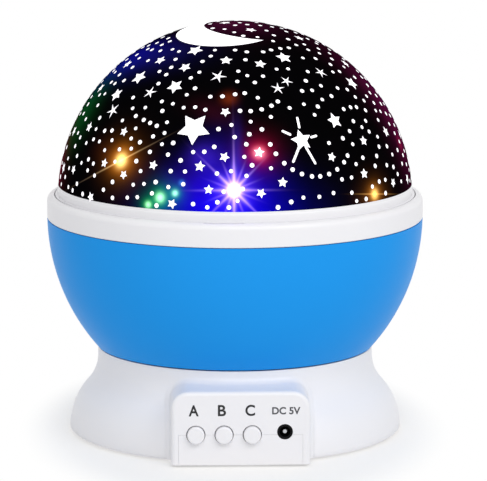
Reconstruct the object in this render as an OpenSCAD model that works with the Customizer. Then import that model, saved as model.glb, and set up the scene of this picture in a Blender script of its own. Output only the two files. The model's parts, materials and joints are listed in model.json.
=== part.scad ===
// Star night light projector: a printed dome on a bowl that turns on a flared base.
// Millimetres, +Z up, the console faces -Y, the origin is the middle of the footprint on the table.

/* [Dome] */
// How far the dome's widest circle lies inside the bowl's
dome_step = 3.6; // [3.4:0.1:5]
// Wall of the star dome
dome_wall = 1.4; // [1:0.1:2]
// How far the dome's widest circle lies below the top of its ring
dome_sink = 5.35; // [4:0.05:6.5]
// How far the dome's wall reaches down below its widest circle
dome_skirt = 1.4; // [0.5:0.1:1.4]

/* [Dome ring] */
// Height of the bead that hugs the dome
bead_h = 3.4; // [2.5:0.1:4.5]
// How far the bead lies inside the outside of the rim band
bead_step = 2; // [1.7:0.1:2.3]
// Rounding of the bead's upper edge
bead_round = 1.4; // [0.8:0.1:1.5]
// Height of the ring's skirt inside the rim band
skirt_h = 3.2; // [2.6:0.1:3.3]
// Wall of that skirt
skirt_wall = 0.8; // [0.6:0.05:0.9]
// Number of bayonet lugs on the skirt
lug_count = 3; // [2:1:5]
// Angle that each lug spans
lug_angle = 10; // [6:1:14]
// How far each lug stands out of the skirt
lug_depth = 0.8; // [0.5:0.05:0.9]

/* [Rim band] */
// Height of the white band round the top of the bowl
band_h = 8; // [7:0.1:10]
// Radius of the band's rounded shoulder
band_shoulder = 2.2; // [1.2:0.1:3]
// Angle that the dome turns to lock in the band
lock_angle = 14; // [11:1:20]

/* [Bowl] */
// Radius of the bowl at its widest
bowl_r = 65; // [60:0.1:70]
// Height of the bowl's visible wall
bowl_h = 44.4; // [42:0.1:48]
// How far the outline's widest circle lies above the bowl's top edge
bowl_rise = 1.2; // [0.5:0.1:2.5]
// Wall of the bowl
bowl_wall = 2; // [1.6:0.1:2.6]
// How far the gear under the bowl lies above the bowl's bottom edge
gear_up = 1.95; // [1.8:0.05:3]
// Thickness of the bowl's floor
bowl_floor_t = 2; // [1.5:0.1:3]

/* [Base] */
// Radius of the base at its foot
base_r = 57.6; // [54:0.1:62]
// Height of the widest circle of the foot
base_edge_z = 1.4; // [1.2:0.1:2]
// Radius of the hollow curve under the neck
flare_r = 15.9; // [14.5:0.1:18]
// Height of the straight neck above the flare
neck_h = 3.1; // [2.5:0.1:4]
// Room round the gear train inside the neck
train_room = 1.3; // [1:0.1:4]
// Gap between the battery well and the gearbox above it
train_gap = 1.5; // [0.5:0.1:4]
// How far the neck lies inside the bowl's bottom edge
neck_inset = 0.35; // [0.2:0.05:1]
// Wall of the base
base_wall = 2; // [1.6:0.1:2.4]
// Thickness of the deck that closes the base
deck_t = 2; // [1.6:0.1:2.4]
// How far the deck lies below the top of the neck
deck_drop = 0.5; // [0.3:0.1:1]
// Thickness of the bottom plate
plate_t = 1.8; // [1.6:0.1:2]

/* [Console] */
// How far the console's face stands out in front of the foot
console_out = 2.4; // [1:0.1:5]
// How far the console's top lies below the top of the neck
console_drop = 4.2; // [3:0.1:6]
// Radius of the console's top corners
console_corner = 6; // [3:0.1:8]
// Radius of the edge round the console's face
console_edge = 1; // [0.4:0.1:1.6]
// Width of the console's face beside the bottom plate's flap
flap_side = 2.55; // [2.3:0.05:3]
// Height of the parting line through the buttons
parting_z = 11.1; // [10.5:0.1:11.8]

/* [Buttons] */
// Diameter of a button cap
button_d = 5.8; // [5:0.1:6.2]
// Distance from one button to the next
button_pitch = 9.4; // [9:0.1:9.8]
// Distance of the first button's middle from the console's side
button_inset = 8.3; // [7.8:0.1:10]
// How far a cap stands out of the console
button_out = 1.8; // [1.4:0.1:2.4]
// Travel of a button
button_travel = 0.8; // [0.4:0.1:1]
// Rounding of a cap's front edge
button_round = 0.6; // [0.3:0.1:0.9]

/* [Power inlet] */
// Distance of the inlet's middle from the last button
jack_pitch = 10.9; // [10:0.1:12]
// Distance of the inlet's middle from the console's other side
jack_inset = 8.5; // [7.8:0.1:10]
// Height of the power inlet's middle
jack_z = 12; // [11.4:0.1:12.6]
// Outside diameter of the inlet's barrel
jack_d = 5.1; // [4.9:0.1:5.6]
// Bore of the inlet
jack_bore = 3.7; // [3.6:0.1:4]
// Depth of the inlet's bore
jack_depth = 7; // [6:0.1:7.5]
// Diameter of the inlet's centre pin
jack_pin_d = 1.3; // [1:0.1:1.5]
// How far the pin's tip lies inside the console's face
jack_pin_back = 0.8; // [0.5:0.1:1.5]

/* [Batteries] */
// Diameter of a battery
cell_d = 10.5; // [9.8:0.1:10.6]
// Length of a battery with its nub
cell_l = 44.5; // [43:0.1:45]
// Gap between two batteries
cell_gap = 0.5; // [0.4:0.05:0.7]
// Length that a contact spring takes when it is pressed
spring_l = 4.6; // [4:0.1:5.5]
// Wall of the battery well
well_wall = 1.2; // [1:0.1:1.4]
// Thickness of the battery door
door_t = 1.6; // [1.2:0.1:1.7]

/* [Gears] */
// Module of the gears under the bowl
big_module = 0.8; // [0.76:0.01:0.82]
// Teeth of the gear under the bowl
bowl_teeth = 65; // [63:1:66]
// Teeth of the gear that drives it
drive_teeth = 13; // [12:1:14]
// Module of the gears in the gearbox
small_module = 0.4; // [0.38:0.01:0.41]
// Teeth of each small gear in the gearbox
pinion_teeth = 12; // [11:1:13]
// Teeth of each large gear in the gearbox
wheel_teeth = 42; // [40:1:43]
// Width of the teeth under the bowl
big_face = 3.8; // [3:0.1:3.9]
// Width of the teeth in the gearbox
small_face = 1.8; // [1.4:0.1:1.9]

/* [Motor] */
// Diameter of the motor's can
motor_d = 16; // [14:0.1:16.4]
// Height of the motor's can
motor_h = 14; // [12:0.1:14.4]

/* [Lamp] */
// Outside radius of the lamp post
post_r = 5.9; // [5.4:0.1:6.2]
// Wall of the lamp post
post_wall = 1.5; // [1.2:0.1:1.8]
// Radius of the light board
led_board_r = 11; // [10.5:0.1:12]
// Diameter of a light
led_d = 5; // [4.6:0.1:5.2]
// Height of a light
led_h = 8.6; // [7:0.1:9]

/* [Clearances] */
// Gap between the base and the turning bowl
turn_gap = 0.5; // [0.4:0.1:0.8]
// Gap at a seam between two pieces that move apart
seam = 0.3; // [0.2:0.05:0.4]
// Gap between two pieces that are fixed together
snug = 0.05; // [0.04:0.01:0.1]
// Running clearance round a shaft
run = 0.05; // [0.03:0.01:0.08]
// Gap between a gear and what lies above or below it
gear_gap = 0.2; // [0.15:0.05:0.4]
// Clearance round a screw where it passes through a piece
screw_room = 0.25; // [0.15:0.05:0.3]
// Play between meshed teeth in the gearbox
tooth_play = 0.06; // [0.05:0.01:0.09]
// How far the rubber feet stand out of the base
foot_out = 0.8; // [0.6:0.1:1]

/* [Hidden] */
$fn = 72;
e = 0.01;                 // overlap that makes a cut clean
white = [0.92, 0.92, 0.94];
blue = [0.13, 0.60, 0.92];
black = [0.03, 0.03, 0.04];
steel = [0.72, 0.73, 0.75];
brass = [0.80, 0.68, 0.38];
ivory = [0.90, 0.88, 0.80];

// Point on a circle about the middle, and the points of an arc about c
function polar(r, a) = [r * cos(a), r * sin(a)];
function arc(c, r, from, to, n = 8) = [for (i = [0 : n]) c + polar(r, from + (to - from) * i / n)];

// Screws: shank radii, then the head's radius and height and the depth in the plastic for a shank s
case_screw = 0.95;
mid_screw = 0.85;
small_screw = 0.75;
tiny_screw = 0.65;
pilot_room = 0.2;         // depth of a screw's hole past the screw's tip
boss_end = 0.25;          // plastic over the end of that hole
function head_r(s) = 2.2 * s;
function head_h(s) = 1.4 * s;
function bite(s) = 4 * s;

// Battery well, from the table up
plate_top = foot_out + plate_t;
cell_count = 4;
cell_pitch = cell_d + cell_gap;
cell_room = 0.65;
contact_t = 0.4;
contact_w = 8;
contact_h = 7;
well_in_x = (cell_count - 1) * cell_pitch / 2 + cell_d / 2 + cell_room;
well_in_y = (cell_l + spring_l + 2 * contact_t + 5 * snug) / 2;
well_x = well_in_x + well_wall;
well_y = well_in_y + well_wall;
cell_z = plate_top + cell_room + cell_d / 2;
well_in_top = cell_z + cell_d / 2 + cell_gap / 2;
well_top = well_in_top + well_wall;
hook_x = [-cell_pitch, cell_pitch];
hook_w = 4;
hook_t = 1;
hook_reach = 1.3;
hook_room = 2.4;

// Gear train, seen from above: from the gear under the bowl through the drive shaft to the motor
pressure = 20;
addendum = 0.75;
dedendum = 1.1;
big_play = 0.2;
big_gear_r = bowl_teeth * big_module / 2;
drive_gear_r = drive_teeth * big_module / 2;
wheel_r = (wheel_teeth / 2 + addendum) * small_module;
pair_d = (pinion_teeth + wheel_teeth) * small_module / 2;
drive_at = 14;
second_at = -60;
first_at = -150;
motor_at = -40;
shaft_pos = polar(big_gear_r + drive_gear_r, drive_at);
second_pos = shaft_pos + polar(pair_d, second_at);
first_pos = second_pos + polar(pair_d, first_at);
motor_pos = first_pos + polar(pair_d, motor_at);
axle_r = 0.75;
shaft_r = 1;
shaft_sink = 1.5;
press = 0.02;
collar_r = 1.6;
bush_r = 2.4;
bush_flange = 0.6;
motor_nose_r = 3;
pillar_r = 2.1;
pillar_d = wheel_r + pillar_r + 0.8;
frame_screws = [shaft_pos + polar(pillar_d, 158), shaft_pos + polar(pillar_d, 60),
  first_pos + polar(pillar_d, 215)];

// Heights of the gearbox, which stands clear of the battery well and of the plate under the motor
frame_t = 1.6;
cover_t = 1;
motor_gap = 0.5;
frame_z = max(well_top + train_gap + head_h(small_screw), plate_top + motor_gap + motor_h) + snug;
layer = small_face + 2 * gear_gap;
layer_1 = frame_z + frame_t + 2 * gear_gap;
layer_2 = layer_1 + layer;
layer_3 = layer_2 + layer;
cover_z = layer_3 + small_face + gear_gap;
deck_z = cover_z + cover_t + gear_gap;
deck_top = deck_z + deck_t;
base_h = deck_top + deck_drop;

// Outline of the base: a straight neck, a hollow arc and a convex arc down to the foot
neck_r = norm(second_pos) + wheel_r + base_wall + train_room;
flare_z = base_h - neck_h;
flare_x = neck_r + flare_r;
toe_d = flare_x - base_r;
toe_h = flare_z - base_edge_z;
toe_r = (toe_d * toe_d + toe_h * toe_h - flare_r * flare_r) / (2 * (flare_r - toe_d));
toe_x = base_r - toe_r;
turn_z = base_edge_z + toe_h * toe_r / (toe_r + flare_r);
function foot_r(z) = z >= flare_z ? neck_r
  : z >= turn_z ? flare_x - sqrt(max(0, flare_r * flare_r - pow(z - flare_z, 2)))
  : toe_x + sqrt(max(0, toe_r * toe_r - pow(z - base_edge_z, 2)));

// Heights of the bowl, the rim and the dome, and the egg-shaped outline of the bowl
bowl_z = base_h + turn_gap;
bowl_top = bowl_z + bowl_h;
egg_z = bowl_top + bowl_rise;
egg_half_h = (egg_z - bowl_z) / sqrt(1 - pow((neck_r + neck_inset) / bowl_r, 2));
function egg_r(z, inset = 0) =
  (bowl_r - inset) * sqrt(max(0, 1 - pow((z - egg_z) / (egg_half_h - inset), 2)));
big_gear_z = bowl_z + gear_up;
big_gear_h = big_face + gear_gap;
drive_gear_z = big_gear_z - gear_gap / 2;
floor_z = big_gear_z + big_gear_h + snug;
floor_top = floor_z + bowl_floor_t;
band_gap = 0.2;
band_z = bowl_top + band_gap;
band_top = band_z + band_h;
bead_z = band_top + snug;
bead_top = bead_z + bead_h;
dome_r = bowl_r - dome_step;
dome_z = bead_top - dome_sink;
dome_low = dome_z - dome_skirt;

// The rim: dome wall, skirt of the dome's ring with its lugs, rim band, lip of the bowl, reflector plate
bead_r = bowl_r - bead_step;
skirt_in = dome_r + snug;
skirt_out = skirt_in + skirt_wall;
lug_r = skirt_out + lug_depth;
band_in = skirt_out + seam;
slot_r = lug_r + seam;
lug_h = 1.6;
lug_at = 20;
lug_z = bead_z - skirt_h + 0.4;
reflector_t = 1.5;
reflector_gap = 0.75;
reflector_z = dome_low - reflector_gap - reflector_t;
lip_z = reflector_z - snug;
lip_h = lip_z - bowl_top;
lip_out = band_in - snug;
lip_wall = 1.8;
lip_web = 2;
reflector_hole = led_board_r + 1.5;
reflector_screw_r = lip_out - lip_wall - 4.5;
reflector_screw_at = [45, 135, 225, 315];

// Hub in the middle of the base
hub_wall = 2.8;
hub_bore = post_r + 0.3;
hub_r = hub_bore + hub_wall;
hub_top = floor_top + 5.6;
sleeve_wall = 3;
sleeve_in = hub_r + run;
sleeve_r = sleeve_in + sleeve_wall;
shoulder_z = deck_top + 1.6;
washer_t = 1;
sleeve_z = shoulder_z + washer_t + run;
hub_cap_t = 1.6;
hub_cap_r = sleeve_r + 0.5;
hub_screw_r = (hub_bore + hub_r) / 2;
hub_screw_at = [30, 150, 270];
gear_screw_r = (sleeve_r + big_gear_r - dedendum * big_module) / 2;
gear_screw_at = [0, 120, 240];

// Lamp post
post_flange_t = 1.6;
post_z = deck_z - snug - post_flange_t;
post_top = reflector_z - 0.1;
post_screw_at = [90, 210, 330];
led_board_t = 1.6;
led_ring = led_board_r / 2;
led_z = post_top + led_board_t + 2 * snug;

// Console and what is behind it
button_names = ["a", "b", "c"];
console_y = base_r + console_out;
console_h = base_h - console_drop;
console_w = button_inset + (len(button_names) - 1) * button_pitch + jack_pitch + jack_inset;
console_back = 6 - neck_r;
flap_w = console_w - 2 * flap_side;
jack_x = console_w / 2 - jack_inset;
jack_tail_r = 0.4;
face_in = base_wall - console_y;
switch_front = face_in + 3.4;
switch_d = 3.5;
switch_w = 6;
board_t = 1.6;
board_y = switch_front + switch_d;
board_back = board_y + board_t;
board_x = console_w / 2 - base_wall - 1.25;
board_z = [plate_top + 1.4, console_h - base_wall - 2.4];
board_post_r = 2.2;
board_post_z = board_z[1] - board_post_r;
board_post_x = [button_pos(0.5), (button_pos(2) + jack_x) / 2];
plunger_r = 1.7;
plunger_in = 0.7;
cap_flange = 0.8;
cap_back = face_in + seam + cap_flange;
cap_flange_r = button_d / 2 + 0.8;
hole_r = button_d / 2 + seam;
function button_pos(i) = button_inset - console_w / 2 + i * button_pitch;

// Screws that close the base, in cups of the bottom plate under bosses of the shell, and the rubber feet
case_screw_r = base_r - 11.1;
case_screw_at = [60, 120, 240, 300];
cup_floor = 1.4;
cup_top = cup_floor + 5;
cup_r = 3.4;
boss_r = 3.2;
foot_pad_r = 4;
foot_sink = 0.9;
foot_ring = base_r - base_wall - foot_pad_r - 3.6;
foot_at = [45, 135, 225, 315];

// Routes of the wires, by hand between the board, the lamp, the motor and the batteries
wire_start = board_back + snug;
motor_side = motor_pos[1] - motor_d / 2 - snug;
lamp_route = [[6, wire_start, 17], [6, wire_start + 3.5, 17], [5.8, -42, 17.6], [5, -36, 19], [4, -26, 20.4],
  [2.4, -14, 21], [1, -6, 21.6], [0.2, -1.8, 23.2], [0, 0, 26.4], [0, 0, 32], [0, 0, 44], [0, 0, 58],
  [0, 0, post_top + 1]];
function past_screw(r, a, z) = [(case_screw_r + r) * cos(a), (case_screw_r + r) * sin(a), z];
motor_routes = [for (s = [0, 2]) [[15, wire_start, 7 + s], [15.6, wire_start + 3.5, 7.4 + s],
  past_screw(1.8, -67, 8.4 + s), past_screw(5.3, -58.5, 9.6 + s), past_screw(4.6, -52.5, 10 + s),
  past_screw(2.3, -47.5, 10 + s), past_screw(-1, -41.5, 10 + s), [motor_pos[0], motor_side, 10 + s]]];
battery_routes = [for (s = [-1, 1]) [[s * 11, wire_start, 8], [s * 11.5, wire_start + 4.5, 8.4],
  [s * 13, -40, 9.4], [s * 15.5, -34, 9.8], [s * 16.4, -30, 9.4], [s * 16.5, -well_y - snug, 9]]];

// Involute gears: half the angle of a tooth at radius r, and the phase that meshes gear b with gear a
function inv(a) = tan(a) - a * PI / 180;
function half_tooth(r, pitch_r, teeth, play) =
  90 / teeth - play / 4 / pitch_r * 180 / PI
  + (inv(pressure) - inv(acos(min(1, pitch_r * cos(pressure) / r)))) * 180 / PI;
function meshed(at, phase, za, zb) = at + 180 - (0.5 - (at - phase) * za / 360) * 360 / zb;
drive_phase = meshed(drive_at, 0, bowl_teeth, drive_teeth);
output_phase = meshed(second_at + 180, 0, pinion_teeth, wheel_teeth);
second_wheel_phase = meshed(first_at + 180, 0, pinion_teeth, wheel_teeth);
first_wheel_phase = meshed(motor_at + 180, 0, pinion_teeth, wheel_teeth);

module gear_outline(teeth, module_mm, play) {
  pitch_r = teeth * module_mm / 2;
  low = pitch_r - dedendum * module_mm;
  base = max(low + e, pitch_r * cos(pressure));
  high = pitch_r + addendum * module_mm;
  radii = [low, base, (base + high) / 2, high];
  polygon([for (t = [0 : teeth - 1]) each concat(
    [for (i = [0 : 3]) polar(radii[i], t * 360 / teeth - half_tooth(radii[i], pitch_r, teeth, play))],
    [for (i = [3 : -1 : 0]) polar(radii[i], t * 360 / teeth + half_tooth(radii[i], pitch_r, teeth, play))])]);
}

// Tube of ring-shaped sections along a route of points that never runs along side, closed at both ends
module cable(route, r, side) {
  sides = 8;
  n = len(route);
  function along(i) = let (d = route[min(n - 1, i + 1)] - route[max(0, i - 1)]) d / norm(d);
  function across(t) = let (c = cross(t, side)) c / norm(c);
  points = [for (i = [0 : n - 1]) let (t = along(i), u = across(t), v = cross(t, u))
    for (k = [0 : sides - 1]) route[i] + r * (u * cos(k * 360 / sides) + v * sin(k * 360 / sides))];
  skin = [for (i = [0 : n - 2]) for (k = [0 : sides - 1]) let (m = (k + 1) % sides)
    [i * sides + k, i * sides + m, (i + 1) * sides + m, (i + 1) * sides + k]];
  first_end = [for (k = [sides - 1 : -1 : 0]) k];
  last_end = [for (k = [0 : sides - 1]) (n - 1) * sides + k];
  polyhedron(points, concat([first_end], skin, [last_end]));
}

// Round tube standing on z
module tube(r_out, r_in, h) {
  difference() {
    cylinder(r = r_out, h = h);
    translate([0, 0, -e]) cylinder(r = r_in, h = h + 2 * e);
  }
}

// Screw with its head below z = 0 and its shank up through a piece of the given thickness into its boss
module screw_up(s, through) {
  translate([0, 0, -snug - head_h(s)]) cylinder(r = head_r(s), h = head_h(s));
  translate([0, 0, -snug - e]) cylinder(r = s, h = snug + e + through + bite(s));
}

// Holes for a screw: the one it bites into, from z = 0 up, and the one it passes through
module pilot(s) {
  translate([0, 0, -e]) cylinder(r = s + snug, h = bite(s) + pilot_room);
}

module passage(s, h) {
  translate([0, 0, -1]) cylinder(r = s + screw_room, h = h + 2);
}

module at_polar(r, angles) {
  for (a = angles) rotate([0, 0, a]) translate([r, 0, 0]) children();
}

// Solid of revolution under the egg-shaped outline, between two heights
module egg_solid(from, to, inset = 0, steps = 24) {
  side = [for (i = [0 : steps]) let (z = from + (to - from) * i / steps) [egg_r(z, inset), z]];
  rotate_extrude() polygon(concat([[0, from]], side, [[0, to]]));
}

// ---- The dome and its ring, which lift off together ----

module star_dome() {
  color(black)
    difference() {
      translate([0, 0, dome_z]) sphere(r = dome_r);
      translate([0, 0, dome_z]) sphere(r = dome_r - dome_wall);
      translate([0, 0, dome_low - dome_r]) cube([3 * dome_r, 3 * dome_r, 2 * dome_r], center = true);
    }
}

module dome_ring() {
  low = bead_z - skirt_h;
  root = 0.2;
  round_r = min(bead_round, bead_h / 2, bead_r - skirt_in - 0.1);
  lip_at = asin((bead_top - dome_z) / skirt_in);
  outline = concat([[skirt_in, low], [skirt_out, low], [skirt_out, bead_z], [bead_r, bead_z]],
    arc([bead_r - round_r, bead_top - round_r], round_r, 0, 90),
    arc([0, dome_z], skirt_in, lip_at, 0, 4));
  color(white) {
    rotate_extrude() polygon(outline);
    for (i = [0 : lug_count - 1]) rotate([0, 0, lug_at + i * 360 / lug_count])
      rotate_extrude(angle = lug_angle)
        translate([skirt_out - root, lug_z]) square([lug_depth + root, lug_h]);
  }
}

// ---- The bowl and what turns with it ----

module rim_band() {
  edge = 0.3;
  depth = slot_r - band_in + 1;
  outline = concat([[band_in, band_z], [bowl_r - edge, band_z], [bowl_r, band_z + edge]],
    arc([bowl_r - band_shoulder, band_top - band_shoulder], band_shoulder, 0, 90), [[band_in, band_top]]);
  slack = 1;
  color(white)
    difference() {
      rotate_extrude() polygon(outline);
      for (i = [0 : lug_count - 1]) rotate([0, 0, lug_at + i * 360 / lug_count - slack]) {
        rotate_extrude(angle = lug_angle + 2 * slack)
          translate([band_in - 1, lug_z - seam]) square([depth, band_top - lug_z + 1]);
        rotate_extrude(angle = lug_angle + lock_angle + 2 * slack)
          translate([band_in - 1, lug_z - seam]) square([depth, lug_h + 2 * seam]);
      }
    }
}

module bowl() {
  boss_r = 3;
  boss_low = floor_top + 6;
  sleeve_h = hub_top - 2 * run - sleeve_z;
  color(blue) {
    difference() {
      union() {
        difference() {
          egg_solid(bowl_z, bowl_top);
          egg_solid(floor_top, bowl_top - lip_web, bowl_wall);
          egg_solid(bowl_z - e, floor_z, bowl_wall);
          translate([0, 0, bowl_top - lip_web - e]) cylinder(r = lip_out - lip_wall, h = lip_web + 1);
        }
        translate([0, 0, bowl_top - e]) tube(lip_out, lip_out - lip_wall, lip_h + e);
        intersection() {
          at_polar(reflector_screw_r, reflector_screw_at) translate([0, 0, boss_low])
            cylinder(r = boss_r, h = lip_z - boss_low);
          union() {
            egg_solid(bowl_z, bowl_top, bowl_wall / 2);
            translate([0, 0, bowl_top - e]) cylinder(r = lip_out - 0.5, h = lip_h + e);
          }
        }
        translate([0, 0, sleeve_z]) cylinder(r = sleeve_r, h = sleeve_h);
        at_polar(gear_screw_r, gear_screw_at) translate([0, 0, floor_z])
          cylinder(r = boss_r, h = bite(mid_screw) + 1);
      }
      translate([0, 0, sleeve_z - e]) cylinder(r = sleeve_in, h = sleeve_h + 1);
      at_polar(reflector_screw_r, reflector_screw_at) translate([0, 0, lip_z])
        mirror([0, 0, 1]) pilot(mid_screw);
      at_polar(gear_screw_r, gear_screw_at) translate([0, 0, floor_z]) pilot(mid_screw);
    }
  }
}

module bowl_gear() {
  color(ivory)
    translate([0, 0, big_gear_z])
      difference() {
        linear_extrude(big_gear_h) gear_outline(bowl_teeth, big_module, big_play);
        translate([0, 0, -e]) cylinder(r = sleeve_r + snug, h = big_gear_h + 1);
        at_polar(gear_screw_r, gear_screw_at) passage(mid_screw, big_gear_h);
      }
}

module gear_screws() {
  color(steel)
    at_polar(gear_screw_r, gear_screw_at) translate([0, 0, big_gear_z])
      screw_up(mid_screw, big_gear_h + snug);
}

module reflector_plate() {
  collar = 1.2;
  collar_h = 2;
  color(white)
    translate([0, 0, reflector_z])
      difference() {
        union() {
          cylinder(r = lip_out, h = reflector_t);
          cylinder(r = reflector_hole + collar, h = reflector_t + collar_h);
        }
        translate([0, 0, -e]) cylinder(r = reflector_hole, h = reflector_t + collar_h + 1);
        at_polar(reflector_screw_r, reflector_screw_at) passage(mid_screw, reflector_t);
      }
}

module reflector_screws() {
  color(steel)
    at_polar(reflector_screw_r, reflector_screw_at) translate([0, 0, reflector_z + reflector_t])
      mirror([0, 0, 1]) screw_up(mid_screw, reflector_t + snug);
}

// ---- The hub that the bowl turns on ----

module thrust_washer() {
  color(ivory) translate([0, 0, shoulder_z]) tube(sleeve_r, sleeve_in, washer_t);
}

module hub_cap() {
  color(ivory)
    translate([0, 0, hub_top])
      difference() {
        tube(hub_cap_r, hub_bore, hub_cap_t);
        at_polar(hub_screw_r, hub_screw_at) passage(tiny_screw, hub_cap_t);
      }
}

module hub_screws() {
  color(steel)
    at_polar(hub_screw_r, hub_screw_at) translate([0, 0, hub_top + hub_cap_t])
      mirror([0, 0, 1]) screw_up(tiny_screw, hub_cap_t);
}

// ---- The lamp on its fixed post ----

module lamp_post() {
  post_h = post_top - post_z;
  cone_h = 3;
  color(white)
    translate([0, 0, post_z])
      difference() {
        union() {
          cylinder(r = hub_r, h = post_flange_t);
          cylinder(r = post_r, h = post_h);
          translate([0, 0, post_h - cone_h]) cylinder(r1 = post_r, r2 = led_board_r - 1, h = cone_h);
        }
        translate([0, 0, -e]) cylinder(r = post_r - post_wall, h = post_h + 1);
        at_polar(hub_screw_r, post_screw_at) passage(small_screw, post_flange_t);
      }
}

module post_screws() {
  color(steel)
    at_polar(hub_screw_r, post_screw_at) translate([0, 0, post_z]) screw_up(small_screw, post_flange_t);
}

module led_board() {
  color([0.90, 0.91, 0.90]) translate([0, 0, post_top + snug]) tube(led_board_r, 1.6, led_board_t);
}

// A round-topped light with its flange, standing on the light board
module led(at, shade) {
  led_flange = 0.4;
  color(shade)
    translate([led_ring * cos(at), led_ring * sin(at), led_z]) {
      cylinder(d = led_d + 2 * led_flange, h = 1);
      cylinder(d = led_d, h = led_h - led_d / 2);
      translate([0, 0, led_h - led_d / 2]) sphere(d = led_d);
    }
}

module led_warm() { led(270, [1.0, 0.93, 0.80]); }
module led_red() { led(0, [0.95, 0.25, 0.22]); }
module led_green() { led(90, [0.30, 0.90, 0.40]); }
module led_blue() { led(180, [0.30, 0.45, 0.95]); }

module lamp_cable() {
  color([0.12, 0.12, 0.13]) cable(lamp_route, 1.1, [1, 0, 0]);
}

// ---- The base ----

// Solid under the outline of the base, from z to the top given, taken in by a wall
module foot_solid(from, to, inset = 0, steps = 20) {
  side = [for (i = [0 : steps]) let (z = from + (to - from) * i / steps) [foot_r(z) - inset, z]];
  rotate_extrude() polygon(concat([[0, from]], side, [[0, to]]));
}

// Console outline taken in by inset: its front, plan and side views cut from one block
module console_solid(inset, back) {
  half = console_w / 2 - inset;
  top = console_h - inset;
  low = inset > 0 ? -1 : foot_out;
  front = -console_y + inset;
  corner = max(0.5, console_corner - inset);
  edge = max(0.2, console_edge - inset);
  intersection() {
    translate([0, back, 0]) rotate([90, 0, 0]) linear_extrude(back - front)
      polygon(concat([[-half, low], [half, low]], arc([half - corner, top - corner], corner, 0, 90),
        arc([corner - half, top - corner], corner, 90, 180)));
    translate([0, 0, low]) linear_extrude(top - low)
      polygon(concat([[half, back], [-half, back]], arc([edge - half, front + edge], edge, 180, 270),
        arc([half - edge, front + edge], edge, 270, 360)));
    translate([-half, 0, 0]) rotate([90, 0, 90]) linear_extrude(2 * half)
      polygon(concat([[back, top], [back, low], [front, low]],
        arc([front + edge, top - edge], edge, 180, 90)));
  }
}

// Holes in the console for the buttons and the inlet, along Y
module console_holes() {
  for (i = [0 : len(button_names) - 1])
    translate([button_pos(i), face_in + 1, parting_z]) rotate([90, 0, 0])
      cylinder(r = hole_r, h = base_wall + 3);
  translate([jack_x, face_in + 1, jack_z]) rotate([90, 0, 0])
    cylinder(d = jack_d + 4 * snug, h = base_wall + 3);
}

module base_shell() {
  edge = 0.6;
  edge_r = foot_r(foot_out + edge);
  rim_in = foot_r(base_edge_z) - base_wall;
  post_h = board_y - snug - face_in;
  color(white)
    difference() {
      union() {
        difference() {
          union() {
            foot_solid(foot_out + edge, base_h);
            translate([0, 0, foot_out]) cylinder(r1 = edge_r - edge, r2 = edge_r, h = edge);
            console_solid(0, console_back);
          }
          foot_solid(base_edge_z, deck_z, base_wall);
          translate([0, 0, -1]) cylinder(r = rim_in, h = base_edge_z + 1 + e);
          console_solid(base_wall, console_back + 3);
          translate([0, 0, deck_top]) cylinder(r = neck_r - base_wall, h = 3);
        }
        translate([0, 0, deck_z]) cylinder(r = hub_r, h = hub_top - deck_z);
        translate([0, 0, deck_z]) cylinder(r = sleeve_r, h = shoulder_z - deck_z);
        intersection() {
          at_polar(case_screw_r, case_screw_at) translate([0, 0, cup_top + snug])
            cylinder(r = boss_r, h = deck_z - cup_top);
          foot_solid(foot_out, deck_z + 1, base_wall / 2);
        }
        for (p = frame_screws) translate([p[0], p[1], deck_z])
          cylinder(r = pillar_r, h = bite(small_screw) + pilot_room + boss_end);
        for (x = board_post_x) translate([x, board_y - snug, board_post_z]) rotate([90, 0, 0])
          cylinder(r = board_post_r, h = post_h + 0.5);
      }
      translate([0, 0, deck_z - e]) cylinder(r = hub_bore, h = hub_top);
      translate([-flap_w / 2 - snug, -console_y - 1, -1])
        cube([flap_w + 2 * snug, base_wall + 1 + e, parting_z + 1]);
      console_holes();
      for (x = board_post_x) translate([x, board_y - snug, board_post_z]) rotate([90, 0, 0]) pilot(mid_screw);
      at_polar(case_screw_r, case_screw_at) translate([0, 0, cup_top + snug]) pilot(case_screw);
      at_polar(hub_screw_r, hub_screw_at) translate([0, 0, hub_top]) mirror([0, 0, 1]) pilot(tiny_screw);
      at_polar(hub_screw_r, post_screw_at) translate([0, 0, deck_z]) pilot(small_screw);
      translate([shaft_pos[0], shaft_pos[1], deck_z - 1]) cylinder(r = bush_r + snug, h = deck_t + 2);
      for (p = frame_screws) translate([p[0], p[1], deck_z]) pilot(small_screw);
    }
}

module base_bottom() {
  disc_r = foot_r(base_edge_z) - base_wall - 0.1;
  half = console_w / 2 - base_wall - 0.1;
  color(white)
    difference() {
      union() {
        translate([0, 0, foot_out]) cylinder(r = disc_r, h = plate_t);
        translate([-half, face_in + snug, foot_out]) cube([2 * half, -face_in - disc_r / 2, plate_t]);
        translate([-flap_w / 2, -console_y, foot_out])
          cube([flap_w, base_wall, parting_z - snug - foot_out]);
        translate([-flap_w / 2, face_in - e, foot_out]) cube([flap_w, 2, plate_t]);
        translate([-well_x, -well_y, foot_out]) cube([2 * well_x, 2 * well_y, well_top - foot_out]);
        at_polar(case_screw_r, case_screw_at) translate([0, 0, foot_out])
          cylinder(r = cup_r, h = cup_top - foot_out);
      }
      translate([-well_in_x, -well_in_y, -1]) cube([2 * well_in_x, 2 * well_in_y, well_in_top + 1]);
      for (x = hook_x) translate([x - hook_w / 2 - seam, -well_y - hook_reach, plate_top])
        cube([hook_w + 2 * seam, well_wall + 2 * hook_reach, hook_room]);
      at_polar(case_screw_r, case_screw_at) {
        translate([0, 0, -1]) cylinder(r = cup_r - 1, h = cup_top - cup_floor + 1);
        passage(case_screw, cup_top);
      }
      at_polar(foot_ring, foot_at) translate([0, 0, -1])
        cylinder(r = foot_pad_r + snug, h = foot_out + foot_sink + 1);
      console_holes();
    }
}

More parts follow.
